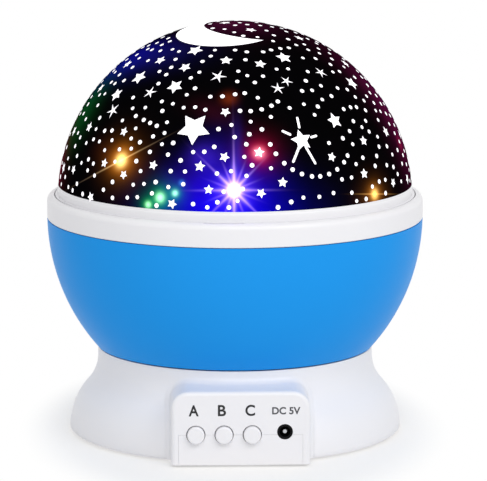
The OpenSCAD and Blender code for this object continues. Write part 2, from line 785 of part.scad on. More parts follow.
module case_screws() {
  color(steel)
    at_polar(case_screw_r, case_screw_at) translate([0, 0, cup_top - cup_floor])
      screw_up(case_screw, cup_floor + snug);
}

module rubber_feet() {
  edge = 0.4;
  top = foot_out + foot_sink - snug;
  pad = [[0, 0], [foot_pad_r - edge, 0], [foot_pad_r, edge], [foot_pad_r, top], [0, top]];
  color([0.75, 0.75, 0.77]) at_polar(foot_ring, foot_at) rotate_extrude() polygon(pad);
}

module battery_door() {
  half_x = well_in_x - seam;
  half_y = well_in_y - seam;
  hook_z = plate_top + seam;
  tongue_w = 12;
  tongue_l = 9;
  slit = 0.8;
  thumb = 4;
  groove = 0.6;
  groove_pitch = 1.6;
  groove_side = 9;
  color(white)
    difference() {
      union() {
        translate([-half_x, -half_y, foot_out]) cube([2 * half_x, 2 * half_y, door_t]);
        for (x = hook_x) {
          translate([x - hook_w / 2, -half_y, foot_out]) cube([hook_w, 1.2, hook_z + hook_t - foot_out]);
          translate([x - hook_w / 2, -well_in_y - hook_reach, hook_z])
            cube([hook_w, hook_reach + seam + 1, hook_t]);
        }
      }
      for (x = [-tongue_w / 2 - slit, tongue_w / 2]) translate([x, half_y - tongue_l, 0])
        cube([slit, tongue_l + 1, foot_out + door_t + 1]);
      translate([-tongue_w / 2 + 1.5, half_y - tongue_l + 1, 0]) cube([tongue_w - 3, thumb, foot_out + 0.5]);
      for (i = [0 : 4]) translate([groove_side - half_x, 5 - half_y + groove_pitch * i, 0])
        cube([2 * (half_x - groove_side), groove, foot_out + 0.3]);
    }
}

// ---- Batteries, their springs and contacts, set out from the well ----

function cell_x(i) = (i - (cell_count - 1) / 2) * cell_pitch;
function cell_flip(i) = i % 2;

module battery_cell(i) {
  nub_h = 1.2;
  nub_r = 1.9;
  start = -well_in_y + 3 * snug + contact_t + spring_l;
  color([0.20, 0.30, 0.36])
    mirror([0, cell_flip(i), 0]) translate([cell_x(i), start, cell_z]) rotate([-90, 0, 0]) {
      cylinder(d = cell_d, h = cell_l - nub_h);
      cylinder(r = nub_r, h = cell_l);
    }
}

module battery_cell_1() { battery_cell(0); }
module battery_cell_2() { battery_cell(1); }
module battery_cell_3() { battery_cell(2); }
module battery_cell_4() { battery_cell(3); }

module contact_springs() {
  wire = 0.35;
  turns = 3;
  steps = 10;
  wide = 3.2;
  narrow = 2;
  n = turns * steps;
  start = -well_in_y + 2 * snug + contact_t + wire;
  color(steel)
    for (i = [0 : cell_count - 1]) mirror([0, cell_flip(i), 0]) translate([cell_x(i), start, cell_z])
      cable([for (k = [0 : n]) let (a = k * 360 / steps, r = wide + (narrow - wide) * k / n)
        [r * cos(a), (spring_l - 2 * wire) * k / n, r * sin(a)]], wire, [0, 1, 0]);
}

// One contact plate from battery i to battery j at the end given, -1 in front and 1 behind
module contact(i, j, end) {
  y = end * (well_in_y - snug - contact_t / 2) - contact_t / 2;
  translate([cell_x(i) - contact_w / 2, y, cell_z - contact_h / 2])
    cube([cell_x(j) - cell_x(i) + contact_w, contact_t, contact_h]);
}

module contact_plates() {
  color(steel) {
    contact(0, 0, -1);
    contact(1, 2, -1);
    contact(3, 3, -1);
    contact(0, 1, 1);
    contact(2, 3, 1);
  }
}

module battery_wires() {
  color([0.75, 0.10, 0.10]) for (route = battery_routes) cable(route, 0.6, [0, 0, 1]);
}

// ---- Motor and gearbox ----

// Flat link of round ends joined by narrower bars
module link_plate(points, r, h) {
  half = r * 0.85;
  for (p = points) translate(p) cylinder(r = r, h = h);
  for (i = [0 : len(points) - 2]) let (d = points[i + 1] - points[i])
    translate(points[i]) rotate([0, 0, atan2(d[1], d[0])]) translate([0, -half, 0])
      cube([norm(d), 2 * half, h]);
}

// The two arms that carry the plates of the gearbox on its pillars
module arms(h) {
  link_plate([frame_screws[0], shaft_pos, frame_screws[1]], pillar_r + 0.4, h);
  link_plate([frame_screws[2], first_pos], pillar_r + 0.4, h);
}

module holes_at(points, r, h) {
  for (p = points) translate([p[0], p[1], -1]) cylinder(r = r, h = h + 2);
}

module gearbox_frame() {
  color(ivory)
    translate([0, 0, frame_z])
      difference() {
        union() {
          link_plate([shaft_pos, second_pos, first_pos, motor_pos], 4.6, frame_t);
          arms(frame_t);
          for (p = frame_screws) translate(p) cylinder(r = pillar_r, h = cover_z - snug - frame_z);
        }
        holes_at([shaft_pos], shaft_r + run, frame_t);
        holes_at([second_pos, first_pos], axle_r + press, frame_t);
        holes_at([motor_pos], motor_nose_r + snug, frame_t);
        holes_at(frame_screws, small_screw + screw_room, cover_z);
      }
}

module gearbox_cover() {
  color(ivory)
    translate([0, 0, cover_z])
      difference() {
        union() {
          link_plate([shaft_pos, second_pos, first_pos], 3.4, cover_t);
          arms(cover_t);
        }
        holes_at([shaft_pos], shaft_r + run, cover_t);
        holes_at([second_pos, first_pos], axle_r + press, cover_t);
        holes_at(frame_screws, small_screw + screw_room, cover_t);
      }
}

module gearbox_screws() {
  color(steel)
    for (p = frame_screws) translate([p[0], p[1], frame_z]) screw_up(small_screw, deck_z - frame_z);
}

module gear_axles() {
  color(steel) for (p = [second_pos, first_pos]) translate([p[0], p[1], frame_z])
    cylinder(r = axle_r, h = cover_z + cover_t - frame_z);
}

module motor() {
  color(steel)
    translate([motor_pos[0], motor_pos[1], frame_z - snug - motor_h])
      difference() {
        union() {
          cylinder(d = motor_d, h = motor_h);
          cylinder(r = motor_nose_r, h = motor_h + frame_t - seam);
        }
        translate([0, 0, motor_h - shaft_sink - 0.5]) cylinder(r = axle_r + run, h = frame_t + 3);
      }
}

module motor_shaft() {
  color(steel) translate([motor_pos[0], motor_pos[1], frame_z - shaft_sink])
    cylinder(r = axle_r, h = layer_1 + small_face + gear_gap - frame_z + shaft_sink);
}

// Toothed disc at a place and height, turned to the phase given, with its bore cut
module spur(pos, z, teeth, module_mm, h, play, phase) {
  translate([pos[0], pos[1], z]) rotate([0, 0, phase]) linear_extrude(h) gear_outline(teeth, module_mm, play);
}

module bored(pos, r) {
  difference() {
    children();
    translate([pos[0], pos[1], frame_z - 1]) cylinder(r = r, h = floor_z - frame_z + 1);
  }
}

module collar(pos, from, to) {
  translate([pos[0], pos[1], from]) cylinder(r = collar_r, h = to - from);
}

module motor_pinion() {
  color(brass) bored(motor_pos, axle_r + press)
    spur(motor_pos, layer_1, pinion_teeth, small_module, small_face, tooth_play, 0);
}

module first_gear() {
  color(ivory)
    bored(first_pos, axle_r + run) {
      spur(first_pos, layer_1, wheel_teeth, small_module, small_face, tooth_play, first_wheel_phase);
      spur(first_pos, layer_1 + small_face - e, pinion_teeth, small_module, layer + e, tooth_play, 0);
      collar(first_pos, layer_2 + small_face - e, cover_z - 3 * run);
    }
}

module second_gear() {
  color(ivory)
    bored(second_pos, axle_r + run) {
      collar(second_pos, layer_1 - gear_gap - run, layer_2 + e);
      spur(second_pos, layer_2, wheel_teeth, small_module, small_face, tooth_play, second_wheel_phase);
      spur(second_pos, layer_2 + small_face - e, pinion_teeth, small_module, layer + e, tooth_play, 0);
    }
}

module output_gear() {
  color(ivory)
    bored(shaft_pos, shaft_r + press) {
      collar(shaft_pos, layer_1 - gear_gap - run, layer_3 + e);
      spur(shaft_pos, layer_3, wheel_teeth, small_module, small_face, tooth_play, output_phase);
    }
}

module drive_shaft() {
  color(steel) translate([shaft_pos[0], shaft_pos[1], frame_z + 0.1])
    cylinder(r = shaft_r, h = drive_gear_z + big_face - frame_z - 0.1);
}

module drive_gear() {
  hub_h = 1.2;
  color(ivory) bored(shaft_pos, shaft_r + press) {
    spur(shaft_pos, drive_gear_z, drive_teeth, big_module, big_face, big_play, drive_phase);
    translate([shaft_pos[0], shaft_pos[1], drive_gear_z - hub_h])
      cylinder(r = drive_gear_r - 1.4, h = hub_h + e);
  }
}

module shaft_bush() {
  color(brass)
    translate([shaft_pos[0], shaft_pos[1], deck_z])
      difference() {
        union() {
          cylinder(r = bush_r, h = deck_t + 2 * snug);
          translate([0, 0, deck_t + snug]) cylinder(r = bush_r + bush_flange, h = bush_flange);
        }
        translate([0, 0, -1]) cylinder(r = shaft_r + run, h = deck_t + 3);
      }
}

module motor_wires() {
  color([0.10, 0.25, 0.65]) for (route = motor_routes) cable(route, 0.6, [0, 0, 1]);
}

// ---- Board, switches, buttons and power inlet behind the console ----

module control_board() {
  color([0.10, 0.35, 0.20])
    difference() {
      translate([-board_x, board_y, board_z[0]]) cube([2 * board_x, board_t, board_z[1] - board_z[0]]);
      for (x = board_post_x) translate([x, board_back, board_post_z]) rotate([90, 0, 0])
        passage(mid_screw, board_t);
    }
}

module board_screws() {
  color(steel)
    for (x = board_post_x) translate([x, board_back, board_post_z]) rotate([90, 0, 0])
      screw_up(mid_screw, board_t + snug);
}

module switch_bodies() {
  color(black)
    for (i = [0 : len(button_names) - 1]) translate([button_pos(i), switch_front, parting_z])
      difference() {
        translate([-switch_w / 2, 0, -switch_w / 2]) cube([switch_w, switch_d - snug, switch_w]);
        translate([0, plunger_in + button_travel + seam, 0]) rotate([90, 0, 0])
          cylinder(r = plunger_r + run, h = switch_d + 1);
      }
}

module plunger(i) {
  color([0.85, 0.82, 0.78])
    translate([button_pos(i), switch_front + plunger_in, parting_z]) rotate([90, 0, 0])
      cylinder(r = plunger_r, h = switch_front + plunger_in - cap_back - snug);
}

module plunger_a() { plunger(0); }
module plunger_b() { plunger(1); }
module plunger_c() { plunger(2); }

// Cap with its retaining flange behind the console wall, its front edge rounded
module button_cap(i) {
  r = button_d / 2;
  length = cap_back + console_y + button_out;
  outline = concat([[0, 0], [cap_flange_r, 0], [cap_flange_r, cap_flange], [r, cap_flange]],
    arc([r - button_round, length - button_round], button_round, 0, 90, 5), [[0, length]]);
  color(white)
    translate([button_pos(i), cap_back, parting_z]) rotate([90, 0, 0]) rotate_extrude() polygon(outline);
}

module button_a() { button_cap(0); }
module button_b() { button_cap(1); }
module button_c() { button_cap(2); }

module dc_jack() {
  body_w = 8;
  body_h = 7.6;
  color(black)
    difference() {
      union() {
        translate([jack_x - body_w / 2, face_in + seam, jack_z - body_h / 2])
          cube([body_w, board_y - snug - face_in - seam, body_h]);
        translate([jack_x, face_in + 1, jack_z]) rotate([90, 0, 0]) cylinder(d = jack_d, h = base_wall + 1);
      }
      translate([jack_x, jack_depth - console_y, jack_z]) rotate([90, 0, 0])
        cylinder(d = jack_bore, h = jack_depth + 1);
      translate([jack_x, board_y + 1, jack_z]) rotate([90, 0, 0])
        cylinder(r = jack_tail_r + press, h = board_y + console_y - jack_depth + 2);
    }
}

module jack_pin() {
  tail = board_y - snug + console_y - jack_depth;
  free = jack_depth - jack_pin_back;
  color(steel) translate([jack_x, board_y - snug, jack_z]) rotate([90, 0, 0]) {
    cylinder(r = jack_tail_r, h = tail + e);
    translate([0, 0, tail]) cylinder(d = jack_pin_d, h = free);
  }
}

star_dome();
dome_ring();
rim_band();
bowl();
bowl_gear();
gear_screws();
reflector_plate();
reflector_screws();
thrust_washer();
hub_cap();
hub_screws();
lamp_post();
post_screws();
led_board();
led_warm();
led_red();
led_green();
led_blue();
lamp_cable();
base_shell();
base_bottom();
case_screws();
rubber_feet();
battery_door();
battery_cell_1();
battery_cell_2();
battery_cell_3();
battery_cell_4();
contact_springs();
contact_plates();
battery_wires();
gearbox_frame();
gearbox_cover();
gearbox_screws();
gear_axles();
motor();
motor_shaft();
motor_pinion();
first_gear();
second_gear();
output_gear();
drive_shaft();
drive_gear();
shaft_bush();
motor_wires();
control_board();
board_screws();
switch_bodies();
plunger_a();
plunger_b();
plunger_c();
button_a();
button_b();
button_c();
dc_jack();
jack_pin();
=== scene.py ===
# %% [markdown]
# # A star night light, dressed over its construction model
#
# The lamp is three round things on one axis: a black printed dome, a blue bowl that turns, and a white
# flared base with a console. The construction model already holds every piece at its real size. This
# script gives those pieces their looks: smooth turned shells where the construction model is made of
# flat facets, the printed sky on the dome, and a finish for every piece inside and out.

# %% Load the construction model
import json
import math
import random

import bmesh
import bpy
import numpy as np
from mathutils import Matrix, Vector


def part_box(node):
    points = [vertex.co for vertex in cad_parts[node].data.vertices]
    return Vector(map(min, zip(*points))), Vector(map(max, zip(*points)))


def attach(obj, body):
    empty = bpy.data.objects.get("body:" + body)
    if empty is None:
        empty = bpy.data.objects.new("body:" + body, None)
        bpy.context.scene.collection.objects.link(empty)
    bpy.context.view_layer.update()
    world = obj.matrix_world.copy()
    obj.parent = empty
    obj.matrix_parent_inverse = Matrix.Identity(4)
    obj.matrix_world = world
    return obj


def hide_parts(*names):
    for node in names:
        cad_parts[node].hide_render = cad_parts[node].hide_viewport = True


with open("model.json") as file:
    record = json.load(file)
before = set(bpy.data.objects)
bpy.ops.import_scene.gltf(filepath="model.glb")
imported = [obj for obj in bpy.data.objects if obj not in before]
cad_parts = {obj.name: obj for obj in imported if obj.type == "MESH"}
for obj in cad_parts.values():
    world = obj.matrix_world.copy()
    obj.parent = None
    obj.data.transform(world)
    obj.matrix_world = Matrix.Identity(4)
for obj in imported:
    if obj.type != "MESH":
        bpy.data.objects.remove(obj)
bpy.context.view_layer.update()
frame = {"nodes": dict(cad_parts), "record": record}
scene = bpy.context.scene
MM = 0.001


# %% Helpers for everything that stands in the scene
def in_scene(name, data):
    """A new object in the scene."""
    made = bpy.data.objects.new(name, data)
    scene.collection.objects.link(made)
    return made


def stand(thing, place, target):
    """Puts a camera or a lamp at a place and turns it towards a target."""
    thing.location = place
    thing.rotation_mode = "QUATERNION"
    thing.rotation_quaternion = (target - Vector(place)).to_track_quat("-Z", "Y")


def direction(azimuth, elevation):
    """Unit vector for two angles in radians. Azimuth 0 is the front."""
    level = math.cos(elevation)
    return Vector((math.sin(azimuth) * level, -math.cos(azimuth) * level, math.sin(elevation)))


def polar(middle, radius, angle):
    """A point (x, y) on a circle, the angle in radians."""
    return (middle[0] + radius * math.cos(angle), middle[1] + radius * math.sin(angle))


def cad_mesh(node):
    """The mesh of a piece of the construction model."""
    return frame["nodes"][node].data


def paint(mesh, finish):
    """Gives a mesh one finish and no other."""
    mesh.materials.clear()
    mesh.materials.append(finish.data)


# %% [markdown]
# ## The camera
#
# A small lamp looks best from far away through a long lens, which keeps the ellipses of its rims
# shallow. The camera stands 1.19 m away and looks down by less than ten degrees. It aims a little beside
# the axis, so the lamp stands slightly left of the middle.

# %% Camera
CAMERA_DISTANCE = 1186 * MM
CAMERA_AZIMUTH = math.radians(-1.8)
CAMERA_ELEVATION = math.radians(9.67)
CAMERA_PIVOT = Vector((0, 0, 75 * MM))
CAMERA_AIM = Vector((2.95 * MM, -0.1 * MM, 66.1 * MM))
SENSOR_WIDTH, FOCAL_LENGTH, FAR_CLIP = 36, 252.8, 20

camera = in_scene("camera", bpy.data.cameras.new("camera"))
camera.data.sensor_width, camera.data.lens = SENSOR_WIDTH, FOCAL_LENGTH
camera.data.clip_end = FAR_CLIP
stand(camera, CAMERA_PIVOT + CAMERA_DISTANCE * direction(CAMERA_AZIMUTH, CAMERA_ELEVATION), CAMERA_AIM)
scene.camera = camera
print("camera at", [round(x, 3) for x in camera.location])

# %% [markdown]
# ## A small language for node trees
#
# A material in Blender is a graph of nodes. Written call by call it is long and hard to read, so three
# small classes turn it into arithmetic. `Value` wraps a number that varies over the surface, and a sum
# or product of values adds its Math node. `Graph` is a node tree, and every other node comes from its
# method `node`. It serves the world and Geometry Nodes too. `Finish` is the graph of one material.

# %% Values and graphs
class Value:
    """A number in a node tree. Arithmetic on it adds Math nodes."""

    def __init__(self, graph, socket):
        self.graph, self.socket = graph, socket

    def math(self, operation, *others):
        inputs = dict(enumerate([self, *others]))
        return self.graph.node("ShaderNodeMath", {"operation": operation}, inputs)

    def reflected(self, operation, other):
        return self.graph.node("ShaderNodeMath", {"operation": operation}, {0: other, 1: self})

    def __add__(self, other):
        return self.math("ADD", other)

    def __sub__(self, other):
        return self.math("SUBTRACT", other)

    def __mul__(self, other):
        return self.math("MULTIPLY", other)

    def __truediv__(self, other):
        return self.math("DIVIDE", other)

    def __rsub__(self, other):
        return self.reflected("SUBTRACT", other)

    def __rtruediv__(self, other):
        return self.reflected("DIVIDE", other)

    __radd__ = __add__
    __rmul__ = __mul__

    def above(self, level):
        return self.math("GREATER_THAN", level)

    def bell(self, width):
        """1 at zero, falling to nothing past twice the width, on both sides."""
        ratio = self / width
        return (0 - ratio * ratio).math("EXPONENT")


class Graph:
    """A node tree. Every node in it comes from one method."""

    def __init__(self, tree):
        self.tree = tree

    def node(self, kind, settings=None, inputs=None, output=0):
        """Adds a node. Its settings come first, then the constants or links of its sockets."""
        node = self.tree.nodes.new(kind)
        for key, value in (settings or {}).items():
            setattr(node, key, value)
        for key, value in (inputs or {}).items():
            self.plug(node.inputs[key], value)
        return Value(self, node.outputs[output])

    def plug(self, socket, value):
        """Links a value or sets a constant. A list of values goes into a socket that takes many."""
        if isinstance(value, Value):
            self.tree.links.new(value.socket, socket)
        elif isinstance(value, list):
            for one in value:
                self.plug(socket, one)
        else:
            socket.default_value = value

    def vector(self, operation, *vectors, output=0):
        settings = {"operation": operation}
        return self.node("ShaderNodeVectorMath", settings, dict(enumerate(vectors)), output)

    def seen(self):
        """1 for a ray from the camera, also through a mirror or glass, and 0 for light that bounces."""
        seen = self.node("ShaderNodeLightPath", output="Is Camera Ray")
        for output in ("Is Glossy Ray", "Is Transmission Ray"):
            seen = seen.math("MAXIMUM", self.node("ShaderNodeLightPath", output=output))
        return seen


# %% Finishes
class Finish(Graph):
    """A material with one Principled shader. Constants are set on the shader's own sockets."""

    def __init__(self, name, **constants):
        self.data = bpy.data.materials.new(name)
        self.data.use_nodes = True
        super().__init__(self.data.node_tree)
        self.tree.nodes.clear()
        self.shader = self.tree.nodes.new("ShaderNodeBsdfPrincipled")
        self.surface = self.tree.nodes.new("ShaderNodeOutputMaterial").inputs[0]
        self.tree.links.new(self.shader.outputs[0], self.surface)
        self.places = {}
        self.set(**constants)

    def set(self, **sockets):
        """Sets or links the shader's sockets by their names in small letters."""
        for word, value in sockets.items():
            name = word.replace("_", " ").title().replace("Ior", "IOR")
            self.plug(self.shader.inputs[name], value)

    def place(self):
        return self.node("ShaderNodeTexCoord", output="Object")

    def noise(self, size_mm, detail=2, stretch=(1, 1, 1)):
        """Noise from 0 to 1 with patches of about the size given."""
        stretched = self.node("ShaderNodeMapping", None, {"Vector": self.place(), "Scale": stretch})
        inputs = {"Vector": stretched, "Scale": 1 / (size_mm * MM), "Detail": detail}
        return self.node("ShaderNodeTexNoise", None, inputs)

    def along(self, direction, origin=(0, 0, 0)):
        """Distance in mm from an origin along a direction."""
        key = tuple(origin)
        if key not in self.places:
            self.places[key] = self.vector("SUBTRACT", self.place(), origin)
        unit = tuple(x / MM for x in direction)
        return self.vector("DOT_PRODUCT", self.places[key], unit, output="Value")

    def mix(self, factor, a, b, blend="MIX"):
        settings = {"data_type": "RGBA", "blend_type": blend}
        return self.node("ShaderNodeMix", settings, {0: factor, 6: rgba(a), 7: rgba(b)}, 2)

    def bump(self, height, depth_mm):
        settings = {"Height": height, "Distance": depth_mm * MM}
        self.plug(self.shader.inputs["Normal"], self.node("ShaderNodeBump", None, settings))

    def cover(self, factor, kind):
        """Mixes another shader over the surface by a factor."""
        mix = self.tree.nodes.new("ShaderNodeMixShader")
        self.tree.links.new(self.surface.links[0].from_socket, mix.inputs[1])
        self.tree.links.new(self.tree.nodes.new(kind).outputs[0], mix.inputs[2])
        self.plug(mix.inputs[0], factor)
        self.tree.links.new(mix.outputs[0], self.surface)


def rgba(colour):
    """A colour as a Mix node takes it: a link as it is, three numbers with an alpha of 1."""
    return colour if isinstance(colour, Value) else (*colour, 1)


def shade(colour, share):
    """The same colour, darker."""
    return tuple(c * share for c in colour)


# %% [markdown]
# ## Moulded plastic
#
# Nearly every piece of the lamp is injection moulded. Such a surface is never quite even: its gloss
# drifts where the melt cooled, and a very fine texture of the steel mould shows in the highlights. One
# function makes this for all the plastics, with the colour, the gloss and the grain as its choices.

# %% Plastic
MELT_MM = 14
MELT_GLOSS, GRAIN_GLOSS = 0.08, 0.06


def plastic(name, colour, roughness, grain_mm=0.35, depth_mm=0.004, drift=0.04, **constants):
    """A moulded plastic. The drift is how far its colour wanders towards a darker shade."""
    finish = Finish(name, **constants)
    clouds = finish.noise(MELT_MM)
    grain = finish.noise(grain_mm, 3)
    finish.set(
        base_color=finish.mix(clouds * 2 * drift, colour, shade(colour, 0.8)),
        roughness=roughness + (clouds - 0.5) * MELT_GLOSS + (grain - 0.5) * GRAIN_GLOSS,
    )
    finish.bump(grain, depth_mm)
    return finish


WHITE = (0.87, 0.865, 0.89)
BLUE = (0.013, 0.318, 0.85)
finishes = {
    "white_plastic": plastic("white_satin_plastic", WHITE, 0.36),
    "blue_plastic": plastic("blue_gloss_plastic", BLUE, 0.4, grain_mm=0.5, specular_ior_level=0.06),
    "ivory_nylon": plastic("natural_nylon", (0.80, 0.75, 0.62), 0.5, depth_mm=0.01),
    "pale_plastic": plastic("pale_acetal", (0.70, 0.66, 0.58), 0.45),
    "black_plastic": plastic("black_nylon", (0.004, 0.004, 0.005), 0.42, depth_mm=0.008,
                             specular_ior_level=0.1),
    "grey_rubber": plastic("grey_rubber", (0.36, 0.36, 0.38), 0.75, grain_mm=0.2, depth_mm=0.02,
                           drift=0.15),
    "black_cable": plastic("black_cable_sleeve", (0.014, 0.014, 0.016), 0.5, grain_mm=0.3,
                           depth_mm=0.01),
    "red_wire": plastic("red_wire_sleeve", (0.55, 0.02, 0.015), 0.42),
    "blue_wire": plastic("blue_wire_sleeve", (0.02, 0.06, 0.45), 0.42),
}
print("plastics:", ", ".join(finishes))

# %% [markdown]
# ## Metal, boards, batteries and lights
#
# The inside has a few finishes of its own. Plated steel shows fine streaks, brass a warmer turned
# surface, a circuit board its copper tracks under the lacquer, and a battery a printed sleeve with a
# band at one end. The four lights are round-topped epoxy with a cup of colour inside.

# %% Metals
TARNISH_MM, STREAK_GLOSS, STREAK_DEPTH_MM = 5, 0.25, 0.004


def metal(name, colour, roughness, streak_mm, stretch):
    """A plated or turned metal. Its streaks are stretched along one axis."""
    finish = Finish(name, metallic=1.0)
    streaks = finish.noise(streak_mm, 3, stretch)
    tarnish = finish.noise(TARNISH_MM)
    finish.set(
        base_color=finish.mix(tarnish * 0.5, colour, shade(colour, 0.72)),
        roughness=roughness + (streaks - 0.5) * STREAK_GLOSS,
    )
    finish.bump(streaks, STREAK_DEPTH_MM)
    return finish


finishes["steel"] = metal("plated_steel", (0.62, 0.63, 0.65), 0.3, 0.5, (1, 1, 0.08))
finishes["brass"] = metal("turned_brass", (0.72, 0.50, 0.20), 0.32, 0.4, (0.1, 0.1, 1))


# %% Circuit boards
BEND_MM, BEND_PITCHES = 6, 3
TRACK_EDGE, TRACK_DEPTH_MM = 0.62, 0.03


def board(name, colour, track_colour, pitch_mm):
    """Lacquered board: straight copper tracks of a few widths show through as a paler shade."""
    finish = Finish(name)
    across = finish.along((1, 0, 0)) / pitch_mm
    bends = finish.noise(BEND_MM, 0) * BEND_PITCHES
    track = (across + bends).math("FRACT").above(TRACK_EDGE)
    finish.set(
        base_color=finish.mix(track * 0.8, colour, track_colour),
        roughness=0.32 + finish.noise(0.6) * 0.12,
    )
    finish.bump(track, TRACK_DEPTH_MM)
    return finish


finishes["green_board"] = board("green_lacquered_board", (0.01, 0.10, 0.035), (0.03, 0.22, 0.08), 1.3)
finishes["white_board"] = board("white_lacquered_board", (0.78, 0.79, 0.78), (0.66, 0.67, 0.66), 2.1)

# %% Batteries
BAND_START, CAP_MM, SLEEVE_DEPTH_MM = 0.5, 1.6, 0.02


def battery_sleeve():
    """Printed sleeve: a dark wrap with a copper band at one end and bare steel at the caps."""
    finish = Finish("battery_sleeve", coat_weight=0.3)
    low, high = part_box("battery_cell_1")
    along = finish.along((0, 1, 0), (0, (low.y + high.y) / 2, 0)).math("ABSOLUTE")
    half = (high.y - low.y) / 2 / MM
    band = along.above(half * BAND_START)
    cap = along.above(half - CAP_MM)
    wrap = finish.mix(band, (0.02, 0.035, 0.05), (0.48, 0.20, 0.05))
    finish.set(
        base_color=finish.mix(cap, wrap, (0.62, 0.62, 0.63)),
        metallic=0.25 + cap * 0.75,
        roughness=0.28 + finish.noise(1.5) * 0.14,
    )
    finish.bump(band + cap, SLEEVE_DEPTH_MM)
    return finish


finishes["battery_case"] = battery_sleeve()

# %% The four lights
CUP_MM = 5
LIGHT_COLOURS = {
    "led_warm": (1.0, 0.80, 0.52),
    "led_red": (0.85, 0.06, 0.04),
    "led_green": (0.05, 0.75, 0.14),
    "led_blue": (0.06, 0.15, 0.90),
}
for slot, colour in LIGHT_COLOURS.items():
    low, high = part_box(slot)
    foot = ((low.x + high.x) / 2, (low.y + high.y) / 2, low.z)
    finish = Finish(slot + "_epoxy", ior=1.5, emission_strength=0.5)
    core = finish.along((0, 0, 1), foot).bell(CUP_MM)
    finish.set(
        base_color=finish.mix(core, shade(colour, 0.9), colour),
        emission_color=finish.mix(core, shade(colour, 0.35), colour),
        roughness=0.08 + finish.noise(1.2) * 0.06,
    )
    finishes[slot] = finish
print("finishes so far:", len(finishes))

# %% [markdown]
# ## Turned shells
#
# The dome and its ring are solids of revolution, so each is one outline swept round the axis. The
# construction model has them as facets; here each outline is swept in fine steps and shaded smooth, with
# its true edges kept sharp. All sizes are read from the frame. The rim band and the bowl are round too,
# but slots and screw posts break them up, so they become smooth copies of their nodes further down.

# %% Measures of the construction model
def radius_near(node, height, span=0.6 * MM, behind=-math.inf):
    """Largest radius of a node's corners near a height and behind a depth, in metres."""
    corners = np.array([v.co for v in cad_mesh(node).vertices])
    near = corners[(abs(corners[:, 2] - height) < span) & (corners[:, 1] > behind)]
    return float(np.hypot(near[:, 0], near[:, 1]).max())


def arc(centre, radius, start, end, steps):
    """Points of an arc in the outline's plane, angles in degrees."""
    turn = np.radians(np.linspace(start, end, steps + 1))
    return [polar(centre, radius, a) for a in turn]


# %% From corners and faces to a piece
JOIN = 0.0005 * MM
SLIVER = 0.0002 * MM
SHARP_EDGE = math.radians(35)


def to_mesh(bm, name):
    mesh = bpy.data.meshes.new(name)
    bm.to_mesh(mesh)
    bm.free()
    return mesh


def shade_smooth(mesh, sharp_edge):
    mesh.polygons.foreach_set("use_smooth", [True] * len(mesh.polygons))
    mesh.set_sharp_from_angle(angle=sharp_edge)


def finish_mesh(bm, name, body, material):
    """Joins a bmesh's corners, points its faces outwards and makes it a piece that rides on a body."""
    bmesh.ops.remove_doubles(bm, verts=bm.verts, dist=JOIN)
    bmesh.ops.dissolve_degenerate(bm, edges=bm.edges, dist=SLIVER)
    bmesh.ops.recalc_face_normals(bm, faces=bm.faces)
    mesh = to_mesh(bm, name)
    shade_smooth(mesh, SHARP_EDGE)
    paint(mesh, material)
    piece = in_scene(name, mesh)
    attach(piece, body)
    print(name, "faces:", len(mesh.polygons))
    return piece


# %% Sweeps
ROUND_STEPS = 192


def skin(bm, rows, closed=False):
    """Faces between rows of corners, each row once round a section. An open run gets its two caps."""
    for this, after in zip(rows, rows[1:] + rows[:1] if closed else rows[1:]):
        for i in range(len(this)):
            j = (i + 1) % len(this)
            bm.faces.new((this[i], this[j], after[j], after[i]))
    if not closed:
        bm.faces.new(rows[0])
        bm.faces.new(rows[-1])


def around(bm, outline, turn):
    """Corners of an outline of (radius, height) points, turned about the Z axis."""
    return [bm.verts.new((*polar((0, 0), r, turn), z)) for r, z in outline]


def turned(name, outline, body, material):
    """Sweeps a closed outline all the way round the Z axis."""
    bm = bmesh.new()
    rows = [around(bm, outline, 2 * math.pi * step / ROUND_STEPS) for step in range(ROUND_STEPS)]
    skin(bm, rows, closed=True)
    return finish_mesh(bm, name, body, material)


# %% [markdown]
# ## The printed dome
#
# The dome is a clear shell printed black. The light of the lamp inside is painted on the print as glow:
# a white burst with rays low in front, a blue field round it, small red, orange and green flares, and
# faint tinted glows towards the edges. Each painted glow is a formula of the direction from the dome's
# middle, so it sits on the dome and turns with it.

# %% Where things lie on the dome
dome_low, dome_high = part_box("star_dome")
PROUD = 0.05 * MM
DOME_R = (dome_high.y - dome_low.y) / 2 - PROUD
DOME_MIDDLE = Vector((0, 0, dome_high.z - PROUD - DOME_R))
DOME_WALL = 1.4 * MM


def dome_frame(azimuth, elevation):
    """Outward, sideways and upward unit vectors at a place on the dome. Azimuth 0 is the front."""
    a, e = math.radians(azimuth), math.radians(elevation)
    outward = direction(a, e)
    sideways = Vector((math.cos(a), math.sin(a), 0))
    return outward, sideways, outward.cross(sideways)


print("dome radius in mm:", round(DOME_R / MM, 2), "middle at", round(DOME_MIDDLE.z / MM, 2))

# %% Shapes of light in the print
dome_finish = Finish("printed_dome", specular_ior_level=0.0, emission_strength=1.0)
HALO = 0.14
FRONT_RIGHT = Vector((1, 0, 0))
FRONT_UP = Vector((0, math.sin(CAMERA_ELEVATION), math.cos(CAMERA_ELEVATION)))


def patch(light, colour, right, up, tilt, heart, outward, width, height):
    """Adds a soft oval of painted glow round a heart, its half-axes in mm along two directions turned by
    a tilt.
    """
    turn = math.radians(tilt)
    first = right * math.cos(turn) + up * math.sin(turn)
    second = up * math.cos(turn) - right * math.sin(turn)
    u = dome_finish.along(first, heart) / width
    v = dome_finish.along(second, heart) / height
    spot = (0 - (u * u + v * v)).math("EXPONENT")
    front = dome_finish.along(outward, DOME_MIDDLE).above(0)
    return dome_finish.mix(spot * front, light, colour, "ADD")


def painted_glow(light, colour, azimuth, elevation, width, height=None, tilt=0):
    """An oval of painted glow that lies on the dome like a sticker."""
    outward, sideways, upward = dome_frame(azimuth, elevation)
    return patch(light, colour, sideways, upward, tilt, DOME_MIDDLE, outward, width, height or width)


